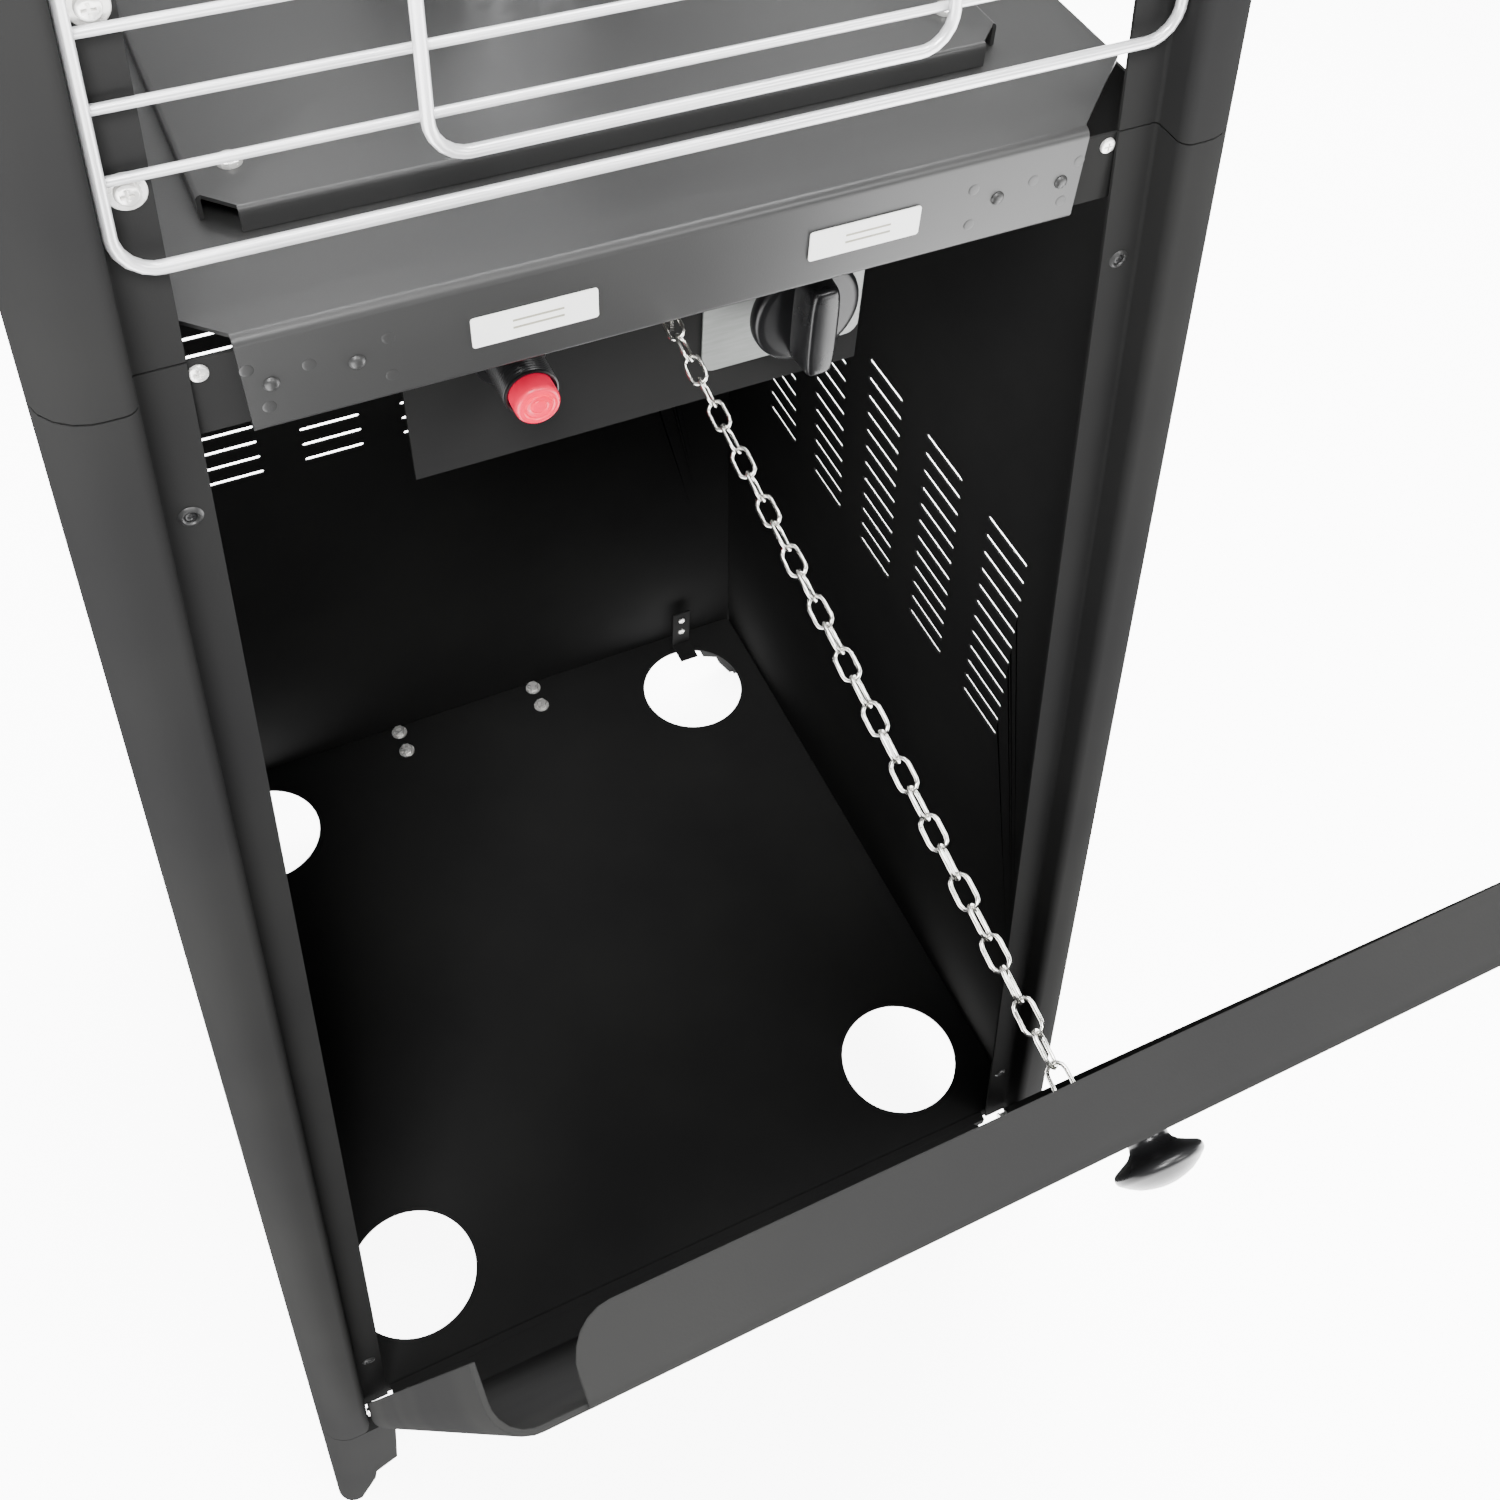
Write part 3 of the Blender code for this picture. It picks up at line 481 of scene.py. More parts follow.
def join_round(bm, last, first):
    """Closes a sweep on itself, turned so that the nearest vertices meet."""
    count = len(first)
    gaps = [sum((last[i].co - first[(i + k) % count].co).length for i in range(count)) for k in range(count)]
    start = gaps.index(min(gaps))
    bridge(bm, [last, [first[(i + start) % count] for i in range(count)]])


def on_side(bm, side):
    """Turns a shape made for the front to the right, rear or left side."""
    return moved(bm, Matrix.Rotation(math.radians(90) * side, 4, "Z"))


def lean(z):
    return TAPER * z


def screw_head(radius, height, slot_depth=0.0006):
    """A pan-head screw with a cross cut in it, its seat at Z 0."""
    rim = radius * 0.72
    bm = bmesh.new()
    arm, tip = radius * 0.13, radius * 0.55
    cross = []
    for quarter in range(4):
        turn = Matrix.Rotation(math.radians(90) * quarter, 2)
        cross += [turn @ Vector((tip, -arm)), turn @ Vector((tip, arm)), turn @ Vector((arm, arm))]
    sides = 24
    loops = []
    for r, z in ((radius, 0), (radius, height * 0.45), (radius * 0.93, height * 0.78), (rim, height)):
        loops.append([bm.verts.new((x, y, z)) for x, y in circle(0, 0, r, sides)])
    bridge(bm, loops)
    bm.faces.new(loops[0])
    top = [bm.verts.new((p.x, p.y, height)) for p in cross]
    filled(bm, [loops[-1], top])
    low = [bm.verts.new((p.x * 0.85, p.y * 0.85, height - slot_depth)) for p in cross]
    bridge(bm, [top, low])
    bm.faces.new(low)
    return bm


def hex_bolt(across, height, washer_r):
    """A hex head on a washer, its seat at Z 0."""
    washer = turned([(0, 0), (washer_r, 0), (washer_r, 0.0010), (0, 0.0010)], 32)
    r = across / math.sqrt(3)
    low = [(x, y, 0.0010) for x, y in circle(0, 0, r, 6)]
    high = [(x, y, 0.0010 + height * 0.82) for x, y in circle(0, 0, r, 6)]
    crown = [(x, y, 0.0010 + height) for x, y in circle(0, 0, r * 0.84, 6)]
    return together([washer, loft([low, high, crown])])


def rivet_head(radius, height):
    dome = [(0, 0), (radius, 0), (radius, height * 0.18)]
    for k in range(1, 7):
        turn = math.radians(90) * k / 6
        dome.append((radius * 0.94 * math.cos(turn), height * (0.18 + 0.82 * math.sin(turn))))
    dome[-1] = (0, height)
    return turned(dome, 24)


# Posts and feet.
def post_ring(z):
    """The folded section of a corner post at one height, in the +X +Y corner."""
    fold = OPENING_HALF + FLANGE_LAP
    path = [(OPENING_HALF, FLANGE_D), (fold, FLANGE_D), (fold, POST_FACE), (POST_FACE, POST_FACE)]
    path += [(POST_FACE, fold), (FLANGE_D, fold), (FLANGE_D, OPENING_HALF)]
    outer = rounded(path, [0, 0.0016, 0.0045, POST_CORNER_R, 0.0045, 0.0016, 0], 6)
    inner = shifted(outer, -SHEET)
    s = lean(z)
    return [(p.x - s, p.y - s, z) for p in outer + inner[::-1]]


def posts():
    for level in ("lower", "upper"):
        for number, corner in enumerate(CORNERS):
            node = f"{level}_post_{corner}"
            low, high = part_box(node)
            shape = on_side(loft([post_ring(low.z), post_ring(high.z)]), number - 1)
            add(f"{node}_skin", shape, "powder_black", stands_for=[node], bevel=0.00015)


def feet():
    """Each foot carries the post's face down and is cut away to a narrow end on the ground."""
    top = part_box("foot_front_right")[1].z
    stations = [(GROUND_Z + 0.00003, 0.2530, 0.0110), (-0.088, 0.2418, 0.0145), (-0.0775, 0.2402, 0.0160)]
    stations += [(-0.068, 0.2256, 0.0170), (top, 0.2225, POST_CORNER_R)]
    for number, corner in enumerate(CORNERS):
        rings = []
        for z, arm, corner_r in stations:
            points = [(arm, FOOT_BACK), (arm, POST_FACE), (POST_FACE, POST_FACE), (POST_FACE, arm)]
            points += [(FOOT_BACK, arm), (FOOT_BACK, FOOT_BACK)]
            path = rounded(points, [0, 0, corner_r, 0, 0, 0], 6)
            rings.append([(p.x - lean(z), p.y - lean(z), z) for p in path])
        shape = on_side(loft(rings), number - 1)
        add(f"foot_{corner}_skin", shape, "powder_black", stands_for=[f"foot_{corner}"])


def flange_screws():
    """Screws sunk in dimpled holes in the flanges, below the rail and low down."""
    rims, heads = [], []
    rim = [(0.0021, 0), (0.0040, 0), (0.0034, 0.0006), (0.0027, 0.0009), (0.0022, 0.0005), (0.0021, 0.0002)]
    for side in range(4):
        for sign in (-1, 1):
            for z in (0.735, 0.060):
                place = (sign * (OPENING_HALF + 0.0075 - lean(z)), lean(z) - FLANGE_D, z)
                rims.append(on_side(facing_front(turned(rim, 32, closed=True), *place), side))
                heads.append(on_side(facing_front(screw_head(0.0019, 0.0003, 0.0002), *place), side))
    add("flange_dimples", together(rims), "powder_painted_sheen")
    add("flange_screws", together(heads), "black_plastic")


# Panels with punched slots.
def panel(name, side):
    low, high = PANEL_BOTTOM_Z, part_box(name)[1].z
    bm = bmesh.new()
    outline = [(-(PANEL_HALF - lean(z)) * s, z) for z, s in ((low, 1), (low, -1), (high, -1), (high, 1))]
    holes = []
    for column in range(5):
        for row in range(12):
            x, z = (column - 2) * 0.0662, 0.3455 + row * 0.014
            points = [(x - 0.0195, z), (x + 0.0195, z), (x + 0.0195, z + 0.0032), (x - 0.0195, z + 0.0032)]
            holes.append([tuple(p) for p in rounded(points, [0.00155] * 4, 3)])
    loops = [[bm.verts.new((x, lean(z) - PANEL_D, z)) for x, z in path] for path in [outline, *holes]]
    filled(bm, loops)
    shape = on_side(thickened(bm, PANEL_SHEET, (0, -1, 0)), side)
    add(f"{name}_skin", shape, "powder_black", stands_for=[name])


# Base plate, its bolts and the small bracket in its corner.
def base_plate():
    low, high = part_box("base_plate")
    holes = [circle(sx * 0.185, sy * 0.186, 0.0418, 64) for sx in (-1, 1) for sy in (-1, 1)]
    shape = tray(square_outline(high.x, 0.006), high.z - low.z, 0.002, holes)
    lip = box_shape((-0.2195, -0.2526, -0.0080), (0.2195, low.y - 0.0001, -0.0002))
    add("base_plate_skin", together([shape, lip]), "powder_black", stands_for=["base_plate"])
    bolts = [at(hex_bolt(0.0080, 0.0045, 0.0062), x, y, 0) for x in (-0.059, 0.059) for y in (0.219, 0.239)]
    add("floor_bolts", together(bolts), "zinc")
    path = [Vector((0.2150, 0.0004)), Vector((0.2355, 0.0004)), Vector((0.2355, 0.0420))]
    ring = [(p.x, p.y) for p in path + shifted(path, 0.0015)[::-1]]
    bracket = loft([[(x, y, z) for y, z in ring] for x in (0.187, 0.203)])
    add("corner_bracket", bracket, "powder_black", bevel=0.0004)
    heads = [facing_front(screw_head(0.0028, 0.0014), 0.195, 0.2339, z) for z in (0.018, 0.033)]
    add("corner_screws", together(heads), "zinc")


# Deck with the rail folded down from it.
def deck():
    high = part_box("deck")[1]
    rail_half, cut, bend = 0.147, 0.036, 0.0035
    bm = bmesh.new()
    flat = [(-rail_half, RAIL_Y + bend), (rail_half, RAIL_Y + bend), (high.x, RAIL_Y + cut), (high.x, high.y)]
    flat += [(-high.x, high.y), (-high.x, RAIL_Y + cut)]
    outer = [bm.verts.new((x, y, DECK_TOP_Z)) for x, y in flat]
    hole = [bm.verts.new((x, y, DECK_TOP_Z)) for x, y in circle(0, 0, 0.030)]
    filled(bm, [outer, hole])
    profile = [(RAIL_Y, DECK_TOP_Z), (RAIL_Y, RAIL_BOTTOM_Z), (RAIL_Y + 0.020, RAIL_BOTTOM_Z)]
    path = rounded([(RAIL_Y + bend, DECK_TOP_Z)] + profile, [0, bend * 0.999, 0.0022, 0], 6)[1:]
    rows = [outer[:2]] + [[bm.verts.new((x, p.x, p.y)) for x in (-rail_half, rail_half)] for p in path[1:]]
    bridge(bm, rows, closed=False)
    shape = thickened(bm, SHEET, (0, -1, 1))
    add("deck_skin", shape, "powder_painted_sheen", stands_for=["deck"])


def rail_fittings():
    """Rivets, the pressed dots round them, screws and stickers along the rail."""
    rivets, dots = [], []
    for sign in (-1, 1):
        for x in (0.113, 0.139):
            rivets.append(facing_front(rivet_head(0.0026, 0.0015), sign * x, RAIL_Y, 0.7755))
        for x, z in ((0.145, 0.0070), (0.141, -0.0085), (0.127, 0.0035), (0.1025, 0.0060), (0.103, -0.0085)):
            dots.append(facing_front(rivet_head(0.0022, 0.00022), sign * x, RAIL_Y, 0.7755 + z))
    add("rail_rivets", together(rivets), "powder_painted_sheen")
    add("rail_pressings", together(dots), "powder_painted_sheen")
    tab_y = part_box("rail_bracket_left")[0].y
    heads = [facing_front(screw_head(0.0030, 0.0012), sign * 0.158, tab_y, 0.784) for sign in (-1, 1)]
    add("tab_screws", together(heads), "zinc")
    for side, sign in (("left", -1), ("right", 1)):
        low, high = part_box(f"label_{side}")
        corners = [(low.x, low.z), (high.x, low.z), (high.x, high.z), (low.x, high.z)]
        path = rounded(corners, [0.0010] * 4, 4)
        shape = loft([[(p.x, y, p.y) for p in path] for y in (low.y, high.y)])
        add(f"label_{side}_sticker", shape, "white_label", stands_for=[f"label_{side}"])
        middle_x, middle_z = (low.x + high.x) / 2 + 0.001, (low.z + high.z) / 2
        lines = []
        for dz in (-0.0014, 0.0014):
            start = (middle_x - 0.0085, low.y - 0.00012, middle_z + dz - 0.00035)
            end = (middle_x + 0.0085, low.y + 0.0001, middle_z + dz + 0.00035)
            lines.append(box_shape(start, end))
        add(f"label_{side}_lines", together(lines), "label_print")


def burner_cover():
    """A low box whose four sides are folded down, open where its corners are cut."""
    low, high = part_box("burner_cover")
    half, bend, cut = high.x, 0.0018, 0.0105
    flat = half - bend
    outline = []
    for quarter in range(4):
        turn = Matrix.Rotation(math.radians(90) * quarter, 2)
        outline += [turn @ Vector((-half + cut, -flat)), turn @ Vector((half - cut, -flat))]
    bm = bmesh.new()
    top = [bm.verts.new((p.x, p.y, high.z)) for p in outline]
    filled(bm, [top, [bm.verts.new((x, y, high.z)) for x, y in circle(0, 0, 0.030)]])
    for quarter in range(4):
        turn = Matrix.Rotation(math.radians(90) * quarter, 3, "Z")
        rows = [top[2 * quarter:2 * quarter + 2]]
        for k in range(1, 5):
            angle = math.radians(90) * k / 4
            y, z = -flat - bend * math.sin(angle), high.z - bend * (1 - math.cos(angle))
            rows.append([bm.verts.new(turn @ Vector((x, y, z))) for x in (-half + cut, half - cut)])
        rows.append([bm.verts.new(turn @ Vector((x, -half, low.z))) for x in (-half + cut, half - cut)])
        bridge(bm, rows, closed=False)
    add("burner_cover_skin", thickened(bm, SHEET, (0, 0, 1)), "powder_painted_sheen",
        stands_for=["burner_cover"])
    spots = [(x, y) for x in (-0.128, 0.128) for y in (-0.118, 0.118)]
    heads = [at(screw_head(0.0042, 0.0022, 0.0012), x, y, high.z) for x, y in spots]
    add("cover_screws", together(heads), "zinc")


# Controls.
def control_panel():
    low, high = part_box("control_panel")
    bm = bmesh.new()
    bend = 0.002
    corners = [(low.x, low.z), (high.x, low.z), (high.x, high.z - bend), (low.x, high.z - bend)]
    holes = [circle(KNOB_X, KNOB_Z, 0.006, 24), circle(IGNITER_X, IGNITER_Z, 0.0108, 32)]
    loops = [[bm.verts.new((x, low.y, z)) for x, z in path] for path in [corners, *holes]]
    filled(bm, loops)
    path = rounded([(low.y, high.z - bend), (low.y, high.z), (high.y, high.z)], [0, bend * 0.999, 0], 5)
    rows = [[loops[0][3], loops[0][2]]]
    rows += [[bm.verts.new((x, p.x, p.y)) for x in (low.x, high.x)] for p in path[2:]]
    bridge(bm, rows, closed=False)
    shape = thickened(bm, SHEET, (0, -1, 0.2))
    add("control_panel_skin", shape, "powder_black", stands_for=["control_panel"])
    low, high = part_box("knob_bezel")
    corners = [(low.x, low.z), (high.x, low.z), (high.x, high.z), (low.x, high.z)]
    bm = bmesh.new()
    outline = [tuple(p) for p in rounded(corners, [0.0055] * 4, 6)]
    paths = [outline, circle(KNOB_X, KNOB_Z, 0.006, 24)]
    front = [[bm.verts.new((x, low.y, z)) for x, z in path] for path in paths]
    filled(bm, front)
    shape = thickened(bm, high.y - low.y, (0, -1, 0))
    add("knob_bezel_plate", shape, "grey_plate", stands_for=["knob_bezel"], bevel=0.0002)
    ticks = []
    for turn in (0, 45, 90, 135, 180):
        arm = Matrix.Rotation(math.radians(turn), 4, "Y") @ Vector((-0.0268, 0, 0))
        tick = box_shape((-0.0016, -0.00008, -0.0003), (0.0016, 0.00008, 0.0003))
        moved(tick, Matrix.Rotation(math.radians(turn), 4, "Y"))
        ticks.append(at(tick, KNOB_X + arm.x, low.y, KNOB_Z + arm.z))
    add("bezel_marks", together(ticks), "label_print")


def control_knob():
    """A flanged disc on a neck, with a thick grip bar across it."""
    back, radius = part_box("control_knob")[1].y, 0.0225
    disc = [(0, 0.0135), (0.0045, 0.0135), (0.0045, 0), (0.0105, 0), (0.0110, 0.0006), (0.0112, 0.0060)]
    disc += [(0.0125, 0.0076), (0.0160, 0.0084), (radius - 0.0014, 0.0086), (radius - 0.0004, 0.0092)]
    disc += [(radius, 0.0102), (radius, 0.0126), (radius - 0.0005, 0.0139), (radius - 0.0018, 0.0149)]
    disc += [(radius - 0.0040, 0.0152), (0, 0.0152)]
    rings = []
    for depth, wide, long in (
        (0.0140, 0.0078, 0.0212),
        (0.0165, 0.0069, 0.0210),
        (0.0215, 0.0066, 0.0208),
        (0.0255, 0.0064, 0.0206),
        (0.0270, 0.0060, 0.0202),
        (0.0279, 0.0052, 0.0193),
        (0.0282, 0.0040, 0.0180),
    ):
        ring = []
        for k in range(48):
            turn = 2 * math.pi * k / 48
            c, s = math.cos(turn), math.sin(turn)
            x = wide * math.copysign(abs(c) ** 0.32, c)
            ring.append((x, long * math.copysign(abs(s) ** 0.55, s), depth))
        rings.append(ring)
    shape = facing_front(together([turned(disc, 64), loft(rings)]), KNOB_X, back, KNOB_Z)
    add("control_knob_grip", shape, "black_plastic", "knob", stands_for=["control_knob"])


def igniter():
    """A threaded sleeve through a nut, round a red cap with pressed rings."""
    place = (IGNITER_X, PANEL_Y, IGNITER_Z)
    sleeve = [(0, -0.035), (0.0103, -0.035), (0.0103, 0.0072)]
    for k in range(15):
        z = 0.0078 + 0.0013 * k
        sleeve += [(0.0098, z), (0.0103, z + 0.0005), (0.0103, z + 0.0008)]
    sleeve += [(0.0098, 0.0272), (0.0103, 0.0275), (0.0102, 0.0281), (0.0096, 0.0283), (0.0090, 0.0280)]
    sleeve += [(0.0089, 0.0272), (0.0089, -0.003), (0, -0.003)]
    shape = facing_front(turned(sleeve, 48), *place)
    add("igniter_sleeve", shape, "black_plastic", stands_for=["igniter_body"])
    nut = [(0.0106, GAP), (0.0142, GAP), (0.0142, 0.0058), (0.0134, 0.0068), (0.0106, 0.0070)]
    add("igniter_nut", facing_front(turned(nut, 48, closed=True), *place), "black_plastic",
        stands_for=["igniter_collar"])
    front = PANEL_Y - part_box("igniter_button")[0].y
    rim = 0.0085
    cap = [(0, 0.0045), (rim, 0.0045), (rim, front - 0.0026)]
    for t in (0.4, 0.8, 1.2, 1.55):
        cap.append((rim - 0.0017 * (1 - math.cos(t)), front - 0.0026 + 0.0022 * math.sin(t)))
    for r in (0.0050, 0.0027):
        cap += [(r + 0.0009, front - 0.0004), (r + 0.0004, front - 0.0008)]
        cap += [(r, front - 0.0007), (r - 0.0003, front - 0.0002)]
    cap += [(0.0012, front - 0.0001), (0.0006, front), (0, front)]
    add("igniter_cap", facing_front(turned(cap, 48), *place), "red_plastic", "igniter_button",
        stands_for=["igniter_button"])


# Door.
def door():
    """A folded pan: soft side bends, and top and bottom flanges with round corners."""
    bend, side_bend, inset, corner = 0.0030, 0.0100, 0.0205, 0.012
    depth = DOOR_REAR_Y - DOOR_FACE_Y

    def half(up):
        return DOOR_HALF - lean(up + DOOR_HINGE.z)

    ends = []
    for k in range(7):
        turn = math.radians(90) * k / 6
        ends.append((corner * (1 - math.cos(turn)), corner * (1 - math.sin(turn))))
    # Stations across the front: how far in from the door's edge, and how much the flange is shortened there.
    across = [(inset + a, b) for a, b in ends]
    bm = bmesh.new()

    def edge_path(up):
        """The left edge in plan, from its rear lip round the bend to where the flange starts."""
        x = -half(up)
        path = rounded([(x, DOOR_REAR_Y), (x, DOOR_FACE_Y), (x + inset, DOOR_FACE_Y)], [0, side_bend, 0], 6)
        return [(p.x, p.y) for p in path]

    def plan(up):
        left = edge_path(up) + [(-half(up) + a, DOOR_FACE_Y) for a, b in across[1:]]
        return left + [(-x, y) for x, y in reversed(left)]

    low, high = DOOR_BOTTOM + bend, DOOR_TOP - bend
    levels = [low + (high - low) * k / 12 for k in range(13)]
    rows = [[bm.verts.new((x, y, up)) for x, y in plan(up)] for up in levels]
    bridge(bm, rows, closed=False)
    first = len(edge_path(low)) - 1
    count = len(rows[0])
    cuts = [b for a, b in across] + [b for a, b in reversed(across)]
    for row, level, sign in ((rows[-1], DOOR_TOP, 1), (rows[0], DOOR_BOTTOM, -1)):
        strip = row[first:count - first]
        loops = [strip]
        for k in range(1, 6):
            turn = math.radians(90) * k / 5
            y = DOOR_FACE_Y + bend * (1 - math.cos(turn))
            z = level - sign * bend * (1 - math.sin(turn))
            loops.append([bm.verts.new((v.co.x, y, z)) for v in strip])
        free = []
        for v, cut in zip(strip, cuts):
            free.append(bm.verts.new((v.co.x, DOOR_FACE_Y + depth - cut, level)))
        loops.append(free)
        bridge(bm, loops, closed=False)
    shape = moved(thickened(bm, SHEET, (0, -1, 0)), DOOR_PLACE)
    add("door_skin", shape, "powder_black", "door", stands_for=["door_panel"], bevel=0.0003)

    grip = [(0, 0.009), (0.0022, 0.009), (0.0022, GAP), (0.0062, GAP), (0.0058, 0.0009), (0.0056, 0.0020)]
    grip += [(0.0060, 0.0032), (0.0072, 0.0044), (0.0090, 0.0053), (0.0106, 0.0060)]
    for k in range(7):
        turn = math.radians(-60 + 120 * k / 6)
        grip.append((0.0107 + 0.0018 * math.cos(turn), 0.0080 + 0.0018 * math.sin(turn)))
    grip += [(0.0100, 0.0108), (0.0075, 0.0122), (0.0050, 0.0130), (0.0025, 0.0135), (0, 0.0136)]
    shape = facing_front(turned(grip, 48), 0, DOOR_FACE_Y, HANDLE_UP)
    add("door_handle_grip", moved(shape, DOOR_PLACE), "black_plastic", "door", stands_for=["door_handle"])


# Chain.
def chain():
    """Oval wire links, each turned a quarter from the last, in the two runs that ride on their own bodies."""
    run = CHAIN_END - CHAIN_START
    pitch = run.length / CHAIN_LINKS
    ahead = run.normalized()
    side = Vector((1, 0, 0))
    up = ahead.cross(side).normalized()
    bend_r = (CHAIN_WIDTH - CHAIN_WIRE) / 2
    reach = (pitch + CHAIN_WIRE) / 2 - bend_r
    runs = (("chain_upper", 0, CHAIN_UPPER_LINKS), ("chain_lower", CHAIN_UPPER_LINKS, CHAIN_LINKS))
    for name, first, last in runs:
        links = []
        for k in range(first, last):
            middle = CHAIN_START + ahead * pitch * (k + 0.5)
            turn = math.radians(38 + 90 * (k % 2) + 4 * math.sin(k * 1.7))
            across = side * math.cos(turn) + up * math.sin(turn)
            path = []
            for end in (1, -1):
                for step in range(7):
                    a = math.radians(-90 + 30 * step) * end
                    along = ahead * end * (reach + bend_r * math.cos(a))
                    path.append(middle + along + across * end * bend_r * math.sin(a) * end)
            links.append(swept(path, CHAIN_WIRE / 2, 8, closed=True))
        add(f"{name}_links", together(links), "chain_nickel", name, stands_for=[name], sharp=60)


# Guards.
def guard_point(x, z, depth=GUARD_D):
    return (x, lean(z) - depth, z)


def guard_path(half_share, bottom, top, closed_top=True):
    """A leaning loop of wire with round corners."""
    def half(z):
        return (GUARD_HALF - lean(z)) * half_share

    corners = [(-half(top), top), (-half(bottom), bottom), (half(bottom), bottom), (half(top), top)]
    path = rounded(corners, [GUARD_CORNER_R] * 4 if closed_top else [0, GUARD_CORNER_R, GUARD_CORNER_R, 0], 6)
    return [guard_point(p.x, p.y) for p in path]


def guards():
    for side, name in enumerate(SIDES):
        frame_wire = swept(guard_path(1, GUARD_BOTTOM_Z, GUARD_TOP_Z), GUARD_WIRE_R, 12, closed=True)
        loop_wire = swept(guard_path(GUARD_LOOP, LOOP_BOTTOM_Z, GUARD_TOP_Z, False), GUARD_WIRE_R, 12)
        wires = [frame_wire, loop_wire]
        z = FIRST_RUNG_Z
        while z < GUARD_TOP_Z - 0.010:
            half = GUARD_HALF - lean(z)
            depth = GUARD_D - GUARD_WIRE_R - RUNG_R + 0.0004
            wires.append(swept([guard_point(-half, z, depth), guard_point(half, z, depth)], RUNG_R, 10))
            z += RUNG_PITCH
        shape = on_side(together(wires), side)
        add(f"guard_{name}_wires", shape, "silver_wire", stands_for=[f"guard_{name}"], sharp=60)
        fixings = []
        for sign in (-1, 1):
            for z in (0.846, 0.895, 1.780, 1.827):
                x = sign * (GUARD_HALF - 0.0068 - lean(z))
                washer = turned([(0, 0), (0.0056, 0), (0.0056, 0.0007), (0.0053, 0.0010), (0, 0.0010)], 32)
                head = at(screw_head(0.0034, 0.0018, 0.0010), 0, 0, 0.0010)
                fixings.append(facing_front(together([washer, head]), x, lean(z) - FLANGE_D, z))
        add(f"guard_{name}_screws", on_side(together(fixings), side), "zinc")


# Burner, glass and hood.
def perforated_ring(radius, low, high, wall, columns, rows, hole_share=0.62):
    """An upright round wall with rows of round holes."""
    bm = bmesh.new()
    inner = 8
    cell_w, cell_h = 2 * math.pi * radius / columns, (high - low) / rows
    hole_r = min(cell_w, cell_h) * hole_share / 2
    spots = {}

    def vertex(u, z):
        halves = u / cell_w * 2
        on_grid = abs(halves - round(halves)) < 1e-6
        key = (round(halves) % (2 * columns) if on_grid else round(u, 7), round(z, 7))
        if key not in spots:
            a = u / radius
            spots[key] = bm.verts.new((radius * math.cos(a), radius * math.sin(a), z))
        return spots[key]

    for column in range(columns):
        for row in range(rows):
            u, z = (column + 0.5) * cell_w, low + (row + 0.5) * cell_h
            rim, hole = [], []
            for k in range(inner):
                a = 2 * math.pi * k / inner
                c, s = math.cos(a), math.sin(a)
                sx = 0 if abs(c) < 1e-6 else math.copysign(1, c)
                sz = 0 if abs(s) < 1e-6 else math.copysign(1, s)
                rim.append(vertex(u + sx * cell_w / 2, z + sz * cell_h / 2))
                angle = (u + hole_r * c) / radius
                spot = (radius * math.cos(angle), radius * math.sin(angle), z + hole_r * s)
                hole.append(bm.verts.new(spot))
            bridge(bm, [rim, hole])
    bmesh.ops.recalc_face_normals(bm, faces=bm.faces)
    face = bm.faces[:][0]
    middle = face.calc_center_median()
    if face.normal.dot(Vector((middle.x, middle.y, 0))) < 0:
        bmesh.ops.reverse_faces(bm, faces=bm.faces)
    bm.normal_update()
    rim_edges = [e for e in bm.edges if len(e.link_faces) == 1]
    faces = list(bm.faces)
    inward = 1 - wall / radius
    back = {v: bm.verts.new((v.co.x * inward, v.co.y * inward, v.co.z)) for v in list(bm.verts)}
    for f in faces:
        bm.faces.new([back[v] for v in reversed(f.verts)])
    for e in rim_edges:
        a, b = e.verts
        bm.faces.new((a, b, back[b], back[a]))
    return bm


def burner():
    low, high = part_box("burner_housing")
    radius = 0.0542
    foot = [(0.053, low.z), (high.x, low.z), (high.x, low.z + 0.0012), (radius + 0.0006, low.z + 0.0026)]
    foot += [(radius, low.z + 0.0040), (0.053, low.z + 0.0040)]
    seat_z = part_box("glass_tube")[0].z - GAP
    wall = perforated_ring(radius, low.z + 0.0040, seat_z - 0.0050, 0.0012, 40, 5)
    rim = [(0.053, seat_z - 0.0050), (radius, seat_z - 0.0050), (radius, high.z - 0.0006)]
    rim += [(radius - 0.0006, high.z), (0.0534, high.z), (0.053, high.z - 0.0006), (0.053, seat_z)]
    rim += [(0.044, seat_z), (0.044, seat_z - 0.0015), (0.053, seat_z - 0.0015)]
    shape = together([turned(foot, 64, closed=True), wall, turned(rim, 64, closed=True)])
    add("burner_housing_skin", shape, "steel", stands_for=["burner_housing"])
    low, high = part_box("burner_head")
    base = low.z
    head = [(0, 0), (0.008, 0), (0.008, 0.0290), (0.010, 0.0325), (0.0228, 0.0415), (0.024, 0.0435)]
    head += [(0.024, 0.0500), (0.0232, 0.0506), (0.0232, 0.0530), (0.024, 0.0536), (0.024, 0.0600)]
    head += [(0.0225, 0.0660), (0.018, 0.0715), (0.010, 0.0740), (0, 0.0745)]
    add("burner_head_skin", at(turned(head, 48), 0, 0, base), "steel", stands_for=["burner_head"])


